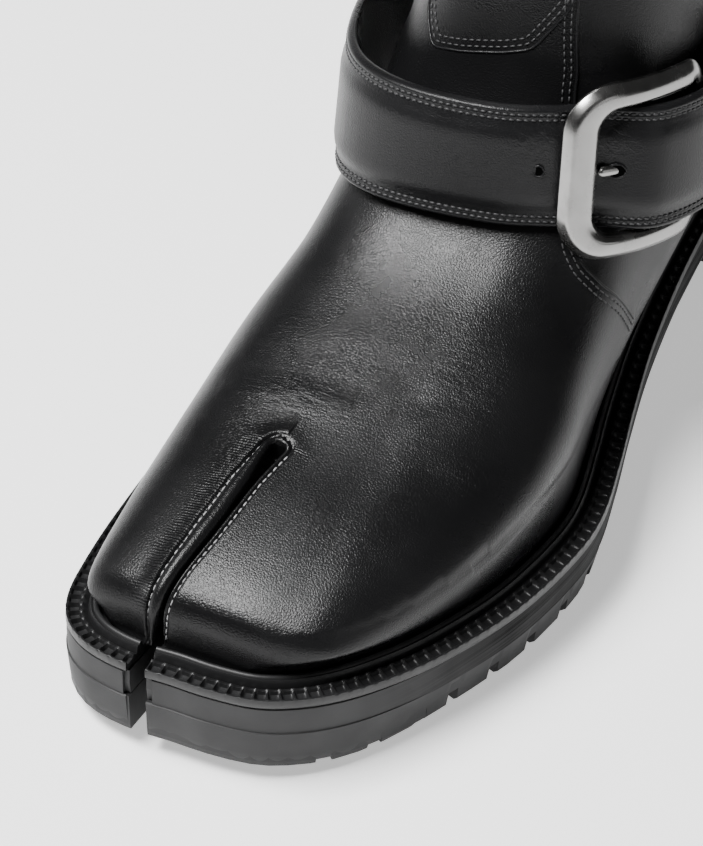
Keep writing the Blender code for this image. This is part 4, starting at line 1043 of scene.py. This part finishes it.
def build_midsole_skin(finish):
    """The midsole's smooth outer wall."""
    outline = fine_outline(2 * MM)[0]
    low = OUTSOLE_THICK + PIECE_GAP
    high = low + MIDSOLE_THICK
    rule = low_set_in(MIDSOLE_SET_IN)

    def section_at(k):
        edge = rule(*outline[k])
        return ((edge + 0.4 * MM, low - 0.8 * MM), (edge, low - 0.7 * MM),
                (edge - 0.05 * MM, low + MIDSOLE_THICK / 2), (edge + 0.05 * MM, high - 0.2 * MM),
                (edge + 0.5 * MM, high + 0.2 * MM), (edge + 8 * MM, high),
                (edge + 8 * MM, low))

    return swept_wall("midsole_skin", outline, section_at, "black_rubber", finish)


def build_outsole_skin(finish):
    """The outsole's smooth outer wall, open at the lugs' notches."""
    outline = fine_outline(0.8 * MM)[0]
    rule = low_set_in(TREAD_SET_IN)
    rule_top = low_set_in(OUTSOLE_SET_IN)
    edge = inset(welt_outline(), rule)
    notches = edge_places(edge, FIRST_NOTCH, TREAD_END - NOTCH_PITCH / 3, NOTCH_PITCH)
    waist = LUG_DEPTH + WAIST_THINNING
    wide = NOTCH_WIDTH / 2 + 0.4 * MM

    def section_at(k):
        x, y = outline[k]
        foot, head = rule(x, y), rule_top(x, y)
        gap = np.min(np.hypot(notches[:, 0] - x, notches[:, 1] - y) ** 2 - foot**2)
        gap = math.sqrt(max(0.0, gap))
        up = LUG_DEPTH * smooth_step((wide + 0.5 * MM - gap) / (0.9 * MM))
        low = max(up, waist * smooth_step((from_toe(y) - TREAD_END) / (1.2 * MM)))
        bevel = TREAD_BEVEL * (1 - low / waist)
        return ((foot + bevel * 0.9, low), (foot + 0.1 * MM, low + bevel),
                (foot - 0.1 * MM, max(low + bevel, 4 * MM)), (head - 0.4 * MM, OUTSOLE_THICK - 0.1 * MM),
                (head + 0.1 * MM, OUTSOLE_THICK + 0.2 * MM), (head + 1.3 * MM, OUTSOLE_THICK - 0.2 * MM),
                (foot + 1.2 * MM + bevel * 0.9, low))

    return swept_wall("outsole_wall", outline, section_at, "black_rubber", finish, sharp=35)


def low_set_in(full):
    def rule(x, y):
        starts = 0.04 if x > CLEFT_ACROSS else 0.2
        return full * (0.15 + 0.85 * smooth_step((from_toe(y) / LENGTH - starts) / 0.14))

    return rule


# Strap and buckle
STRAP_FULLER = 1.1 * MM
TIP_ROUND = 11 * MM
EDGE_STEPS = (
    0.0, 0.06, 0.2, 0.45, 0.8, 1.2, 1.55, 1.9, 2.25, 2.7, 3.1, 3.5, 3.9, 4.6, 5.5, 6.7, 8.2, 10.2, 13.0,
)
STRAP_ROWS = (1.9, 3.3)
STRAP_WRINKLES = ((22.0, 9.0), (42.0, 10.0))
PRONG_HOLE = 42.5 * MM
HOLE_SINK = 0.05 * MM
DISC_SIDES = 20
PRONG_SIDES = 16


def ring_point(ring, along, height, away):
    return np.array(ring.place(along, height, away)) + SHIFT


def ring_normal(ring, along, height):
    a = ring_point(ring, along, height, 0.0)
    b = ring_point(ring, along, height, 5 * MM)
    return (b - a) / np.linalg.norm(b - a)


def strap_base(along):
    """The strap lies a little fuller away from the buckle, and is pressed down under the front bar."""
    full = smooth_step((along + 150 * MM) / (60 * MM)) * (1 - smooth_step((along - 12 * MM) / (14 * MM)))
    return strap_offset(along) + STRAP_FULLER * full


def strap_top(edge):
    """Height of the strap's outer face at a distance from its edge."""
    e = edge / MM
    body = 2.7 + 1.3 * smooth_step((e - 3.6) / 4.5)
    rounded = math.sqrt(max(0.0, 1 - max(0.0, (1.1 - e) / 1.1) ** 2))
    groove = sum(0.28 * math.exp(-(((e - row) / 0.33) ** 2)) for row in STRAP_ROWS)
    return (0.25 + (body - 0.25) * rounded - groove) * MM


def build_strap_skin(ring, finish):
    """The padded strap, with two sewn grooves along each edge and a rounded tip."""
    half = STRAP_WIDTH / 2
    profile = [(half - edge * MM, strap_top(edge * MM)) for edge in EDGE_STEPS] + [(0.0, strap_top(half))]
    profile += [(-h, a) for h, a in reversed(profile[:-1])]
    profile += [(-half + 0.3 * MM, 0.0), (0.0, 0.0), (half - 0.3 * MM, 0.0)]
    places = np.concatenate([np.arange(ring.walked[0] + SEAM_GAP, -62 * MM, 3 * MM),
                             np.arange(-62 * MM, 60 * MM, 1.1 * MM), np.arange(60 * MM, STRAP_TIP, 1.6 * MM)])
    points, crease = [], []
    for along in places:
        base = strap_base(along)
        tip = smooth_step((STRAP_TIP - along) / TIP_ROUND)
        narrow = math.sqrt(max(0.02, 1 - (1 - tip) ** 2)) if along > STRAP_TIP - TIP_ROUND else 1.0
        for height, away in profile:
            points.append(ring_point(ring, along, height * narrow, base + away))
            ripple = 0.0
            for at, high in STRAP_WRINKLES:
                ripple += math.exp(-(((along / MM - at) / 6.0) ** 2 + ((height / MM - high) / 6.0) ** 2))
            crease.append(1.5 * ripple)
    faces = closed_loops(len(places), len(profile))
    made_piece("strap_skin", points, faces, "black_leather", finish, ("strap",),
               no_creases(points, crease), sharp=70)


def strap_line(ring, edge, side, first, last):
    path = []
    for along in np.arange(first, last, 1.5 * MM):
        height = side * (STRAP_WIDTH / 2 - edge)
        path.append((ring_point(ring, along, height, strap_base(along) + strap_top(edge) + 0.1 * MM),
                     ring_normal(ring, along, height)))
    return path


def disc(centre, normal, run, radius, sink, wide=1.0):
    """A small dark pit: a dished disc. With a near-black finish it is painted shade in place of a hole's
    shaded inside.
    """
    side = np.cross(normal, run)
    side /= np.linalg.norm(side)
    run = np.cross(side, normal)
    points = [centre - normal * sink]
    for size, low in ((0.55, sink * 0.9), (0.85, sink * 0.4), (1.0, 0.0)):
        for angle in np.arange(DISC_SIDES) * 2 * math.pi / DISC_SIDES:
            out = run * math.cos(angle) * wide + side * math.sin(angle)
            points.append(centre + out * radius * size - normal * low)
    faces = [(0, 1 + (j + 1) % DISC_SIDES, 1 + j) for j in range(DISC_SIDES)]
    return points, faces + lattice_faces(3, DISC_SIDES, 1, loop=True)


def rounded_profile(corners, radius):
    """Round each corner of a closed polygon."""
    found = []
    count = len(corners)
    for k in range(count):
        before, here, after = (np.array(corners[(k + s) % count], float) for s in (-1, 0, 1))
        sides = [before - here, after - here]
        reach = min(radius, *(0.45 * np.linalg.norm(side) for side in sides))
        a, b = (here + side / np.linalg.norm(side) * reach for side in sides)
        for t in np.arange(4) / 3:
            found.append((1 - t) ** 2 * a + 2 * t * (1 - t) * here + t**2 * b)
    return found


def build_frame_skin(ring, finish):
    """The frame: a bar swept round a rounded rectangle, broad in front and thin at its rear bar."""
    half_long = (PIVOT_ALONG - BUCKLE_FRONT - BUCKLE_FRONT_BAR / 2) / 2
    middle = BUCKLE_FRONT + BUCKLE_FRONT_BAR / 2 + half_long
    half_high = STRAP_WIDTH / 2 + BUCKLE_CLEARANCE + BUCKLE_BAR / 2
    path = []
    for side_x, side_y, first in ((-1, 1, 90), (-1, -1, 180), (1, -1, 270), (1, 1, 0)):
        corner = BUCKLE_CORNER if side_x < 0 else PIVOT_CORNER
        for turn in np.radians(np.linspace(first, first + 90, 15)):
            out_x, out_y = math.cos(turn), math.sin(turn)
            x = side_x * (half_long - corner) + corner * out_x
            y = side_y * (half_high - corner) + corner * out_y
            path.append((x, y, out_x, out_y))
    dense = []
    for here, after in zip(path, path[1:] + path[:1]):
        pieces = max(1, int(math.hypot(after[0] - here[0], after[1] - here[1]) / (1.5 * MM)))
        for t in np.arange(pieces) / pieces:
            dense.append([a + (b - a) * t for a, b in zip(here, after)])
    front_height = STRAP_GAP + STRAP_THICK + 2 * PIECE_GAP + BUCKLE_THICK / 2
    points = []
    for x, y, out_x, out_y in dense:
        share = (x + half_long) / (2 * half_long)
        thin = smooth_step((share - 0.86) / 0.14)
        broad = smooth_step(1 - share / 0.3)
        wide = BUCKLE_BAR + (2 * PIVOT_RADIUS - BUCKLE_BAR) * thin + (BUCKLE_FRONT_BAR - BUCKLE_BAR) * broad
        thick = BUCKLE_THICK + (2 * PIVOT_RADIUS - BUCKLE_THICK) * thin
        height = front_height + (pivot_height() - front_height) * smooth_step(share)
        w, t = wide / 2, thick / 2
        corners = [(-w, -t * 0.6), (-w + 0.1 * wide, -t), (w - 0.1 * wide, -t), (w, -t * 0.6), (w, -t * 0.05),
                   (w - 0.34 * wide, t), (-w + 0.16 * wide, t), (-w, t * 0.5)]
        for across, up in rounded_profile(corners, 0.9 * MM):
            points.append(ring_point(ring, middle + x + out_x * across, y + out_y * across, height + up))
    count = len(points) // len(dense)
    faces = lattice_faces(len(dense), count, loop=True)
    last = len(points) - count
    for j in range(count):
        after = (j + 1) % count
        faces.append((last + j, last + after, after, j))
    made_piece("buckle_frame_skin", points, faces, "brushed_steel", finish, ("buckle_frame",))


def build_prong_skin(ring, finish):
    """The prong: a round bent rod with a blunt tip."""
    knots = np.array(prong_path())
    shares = np.linspace(0, 1, 40)
    stations = at_places(shares * (len(knots) - 1), np.arange(len(knots)), knots)
    last = len(stations) - 1
    points = []
    for k, (along, away) in enumerate(stations):
        run = stations[min(last, k + 1)] - stations[max(0, k - 1)]
        run /= np.linalg.norm(run)
        radius = PRONG_RADIUS * min(1.0, (last - k) / 2.0 + 0.35)
        for turn in np.arange(PRONG_SIDES) * 2 * math.pi / PRONG_SIDES:
            side, out = math.cos(turn) * radius, math.sin(turn) * radius
            points.append(ring_point(ring, along - run[1] * out, side, away + run[0] * out))
    made_piece("buckle_prong_skin", points, closed_loops(len(stations), PRONG_SIDES), "brushed_steel", finish,
               ("buckle_prong",), sharp=60)


def band_piece(name, ring, places, corners, radius, offset, finish, replaces):
    """A leather band with rounded corners, swept along the ring."""
    profile = rounded_profile(corners[::-1], radius)
    points = []
    for along in places:
        points += [ring_point(ring, along, height, offset(along) + away) for height, away in profile]
    made_piece(name, points, closed_loops(len(places), len(profile)), "black_leather", finish, replaces,
               no_creases(points), sharp=60)


def build_anchor_skin(ring, finish):
    half = ANCHOR_WIDTH / 2
    corners = [(-half, 0.0), (half, 0.0), (half, ANCHOR_THICK), (-half, ANCHOR_THICK)]
    places = np.arange(PIVOT_ALONG + 2 * MM, ring.walked[-1] - SEAM_GAP, 2.5 * MM)
    band_piece("strap_anchor_skin", ring, places, corners, 0.8 * MM,
               lambda along: STRAP_GAP + buckle_lift(along), finish, ("strap_anchor",))


def build_keeper_skin(ring, finish):
    half = STRAP_WIDTH / 2 + BUCKLE_CLEARANCE
    under = max(strap_offset(KEEPER_ALONG + side * KEEPER_WIDTH / 2) for side in (-1, 1))
    top = under + STRAP_THICK + 2 * PIECE_GAP
    thick = KEEPER_THICK
    corners = [(-half - thick, 0.5 * MM), (-half, 0.5 * MM), (-half, top), (half, top), (half, 0.5 * MM),
               (half + thick, 0.5 * MM), (half + thick, top + thick), (-half - thick, top + thick)]
    places = KEEPER_ALONG + np.linspace(-0.5, 0.5, 9) * KEEPER_WIDTH
    band_piece("keeper_skin", ring, places, corners, 1.2 * MM, lambda along: 0.0, finish, ("keeper",))


def area(name, place, target, size, power):
    data = bpy.data.lights.new(name, "AREA")
    data.shape = "RECTANGLE"
    data.size, data.size_y = size
    data.energy = power
    lamp = bpy.data.objects.new(name, data)
    bpy.context.scene.collection.objects.link(lamp)
    lamp.location = place
    lamp.rotation_euler = (Vector(target) - Vector(place)).to_track_quat("-Z", "Y").to_euler()


# Camera, as fitted to the photo
CAMERA_PLACE = (0.40076, -0.90609, 0.93361)
CAMERA_AZIMUTH = 26
CAMERA_ELEVATION = 43.5
FOCAL_PIXELS = 5125
PHOTO_HEIGHT = 846
SENSOR = 36.0

LIGHTS = (
    # name, place, target, size, watts
    ("key", (-0.47, -0.45, 1.40), (0, -0.08, 0.04), (0.8, 0.5), 69),
    ("left", (-1.5, -0.1, 0.8), (0, -0.02, 0.05), (0.4, 0.9), 2.5),
    ("right", (1.5, -0.5, 0.6), (0, -0.03, 0.05), (0.9, 0.9), 2.5),
)
WHITE = (1.0, 1.0, 1.0, 1.0)
FLOOR_GREY = (0.86, 0.86, 0.86)
FLOOR_GLOW = 0.6
WORLD_GLOW = 0.06
FLOOR_HALF = 6


def build_stage():
    data = bpy.data.cameras.new("camera")
    data.sensor_fit = "AUTO"
    data.sensor_width = SENSOR
    data.lens = FOCAL_PIXELS / PHOTO_HEIGHT * SENSOR
    data.clip_start = 0.05
    data.clip_end = 50
    camera = bpy.data.objects.new("camera", data)
    bpy.context.scene.collection.objects.link(camera)
    az, el = math.radians(CAMERA_AZIMUTH), math.radians(CAMERA_ELEVATION)
    back = Vector((math.sin(az) * math.cos(el), -math.cos(az) * math.cos(el), math.sin(el)))
    camera.location = Vector(CAMERA_PLACE) + Vector(SHIFT)
    camera.rotation_euler = back.to_track_quat("Z", "Y").to_euler()
    bpy.context.scene.camera = camera

    floor_mat, floor_bsdf = shader("floor", FLOOR_GREY, 0.9)
    floor_bsdf.inputs["Emission Color"].default_value = WHITE
    floor_bsdf.inputs["Emission Strength"].default_value = FLOOR_GLOW
    grain = bump(floor_mat, noise(floor_mat, place_node(floor_mat), 300.0), 0.02, 0.0003)
    link(floor_mat, grain, floor_bsdf.inputs["Normal"])
    mesh = bpy.data.meshes.new("floor")
    corners = [(x * FLOOR_HALF, y * FLOOR_HALF, 0) for x, y in ((-1, -1), (1, -1), (1, 1), (-1, 1))]
    mesh.from_pydata(corners, [], [(0, 1, 2, 3)])
    mesh.materials.append(floor_mat)
    floor = bpy.data.objects.new("floor", mesh)
    bpy.context.scene.collection.objects.link(floor)

    world = bpy.data.worlds.new("studio")
    bpy.context.scene.world = world
    world.use_nodes = True
    background = world.node_tree.nodes["Background"]
    background.inputs["Color"].default_value = WHITE
    background.inputs["Strength"].default_value = WORLD_GLOW
    for light in LIGHTS:
        area(*light)


def stitch_strap(ring, finish):
    """Two rows along each edge, left out under the frame's front bar."""
    stretches = (
        (ring.walked[0] + 4 * MM, BUCKLE_FRONT + 2 * MM),
        (BUCKLE_FRONT + BUCKLE_FRONT_BAR - 2 * MM, STRAP_TIP - 12 * MM),
    )
    paths = []
    for row in STRAP_ROWS:
        for side in (-1, 1):
            paths += [strap_line(ring, row * MM, side, first, last) for first, last in stretches]
    made_piece("strap_stitches", *dashes(paths, 1.35 * MM, 0.5 * MM, 0.33 * MM), "black_leather", finish)


def stitch_seams(on_skin, surface, finish, edge_finish):
    """Two rows along the vamp's seam, the shaft's arc, the collar and each side of the strip on the back."""
    paths = [laid_on(on_skin, SEAM, shift) for shift in (1.5 * MM, 3.3 * MM)]
    paths += [laid_on(on_skin, ARC, shift) for shift in (1.0 * MM, 2.6 * MM)]
    for height in COLLAR_ROWS:
        columns = [surface[-30:, j] for j in range(surface.shape[1])]
        paths.append(laid_on(on_skin, [at_places(height, column[:, 2], column) for column in columns]))
    paths += [laid_on(on_skin, BACK, shift) for shift in (-8 * MM, -6.4 * MM, 6.4 * MM, 8 * MM)]
    made_piece("seam_stitches", *dashes(paths, 1.4 * MM, 0.55 * MM, 0.26 * MM), "black_leather", finish)
    for name, line, shift, radius in (
        ("seam_edge", SEAM, 0.0, 0.42 * MM),
        ("back_edge_outer", BACK, -9.2 * MM, 0.4 * MM),
        ("back_edge_inner", BACK, 9.2 * MM, 0.4 * MM),
        ("arc_edge", ARC, -0.4 * MM, 0.38 * MM),
    ):
        made_piece(name, *tube(laid_on(on_skin, line, shift), radius), "black_leather", edge_finish)


def stitch_toe(on_skin, surface, across, share, finish):
    """One row on each side of the cleft."""
    paths = []
    for line, side in ((LATERAL_LINE, 1), (MEDIAL_LINE, -1)):
        path = []
        for k in np.nonzero((share > 0.03) & (share < RING_SHARE))[0]:
            place = side * np.interp(share[k], *line) * MM
            path.append(nearest(on_skin, at_places(place, across[k], surface[k])))
        paths.append(path)
    made_piece("toe_stitches", *dashes(paths, 1.5 * MM, 0.6 * MM, 0.24 * MM), "black_leather", finish)


def build_holes(ring, finish, rim_finish):
    """The spare hole and the prong's, each a pit of painted shade (a near-black disc without gloss) with a
    raised rim.
    """
    for name, along, radius, wide in (
        ("spare_hole", SPARE_HOLE, 1.45 * MM, 1.0),
        ("prong_hole", PRONG_HOLE, 1.9 * MM, 1.25),
    ):
        base = strap_base(along) + strap_top(STRAP_WIDTH / 2) + 0.25 * MM
        centre = ring_point(ring, along, 0.0, base)
        normal = ring_normal(ring, along, 0.0)
        run = ring_point(ring, along + 1 * MM, 0.0, base) - centre
        # The disc's near-black finish is painted shade for the inside of the hole.
        made_piece(name, *disc(centre, normal, run, radius, HOLE_SINK, wide), "black_leather", finish)
        side = np.cross(normal, run)
        side /= np.linalg.norm(side)
        ahead = np.cross(side, normal)
        loop = []
        for turn in np.linspace(-0.1, 2 * math.pi, 30):
            spot = centre + (ahead * math.cos(turn) * wide + side * math.sin(turn)) * radius
            loop.append((spot - normal * HOLE_SINK, normal))
        made_piece(name + "_rim", *tube(loop, 0.3 * MM), "black_leather", rim_finish)


def main():
    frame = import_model()
    nodes = frame["nodes"]
    build_stage()
    skin_leather = leather("black_leather_skin", LEATHER_BLACK, 0.28)
    strap_leather = leather("black_leather_strap", STRAP_BLACK, 0.3)
    lining = leather("lining_leather_skin", LINING_BROWN, 0.7, wrinkled=False)
    side_rubber = rubber("black_rubber_sole", RUBBER_BLACK, 0.6)
    # The midsole's outer side has drawn streaks and a darker colour that is painted shade.
    streaked_and_shaded = rubber("black_rubber_midsole", RUBBER_BLACK, 0.58, streaks=0.3)
    rib_rubber = rubber("welt_rubber_ribs", WELT_BLACK, 0.42)
    steel = metal("brushed_steel_buckle")
    # The hole discs' finish, near-black and without gloss: painted shade inside the holes.
    hole_shade = shader("hole_painted_shade", PAINTED_HOLE_SHADE, 1.0, specular=0.0)[0]
    cotton = thread("thread_black", THREAD_BLACK)
    grey = thread("thread_grey", THREAD_GREY)
    shown = {"outsole": side_rubber, "heel": side_rubber, "midsole": streaked_and_shaded, "insole": lining}
    for name, finish in shown.items():
        nodes[name].data.materials.clear()
        nodes[name].data.materials.append(finish)
    ring = Ring(tree_of(nodes["upper"].data, SHIFT))
    skin, surface, across, share = build_upper_skin(skin_leather, lining)
    on_skin = tree_of(skin.data)
    build_welt_skin(rib_rubber)
    build_midsole_skin(streaked_and_shaded)
    build_outsole_skin(side_rubber)
    build_strap_skin(ring, strap_leather)
    build_frame_skin(ring, steel)
    build_prong_skin(ring, steel)
    build_anchor_skin(ring, strap_leather)
    build_keeper_skin(ring, strap_leather)
    stitch_strap(ring, cotton)
    stitch_seams(on_skin, surface, cotton, strap_leather)
    stitch_toe(on_skin, surface, across, share, grey)
    build_holes(ring, hole_shade, strap_leather)


main()
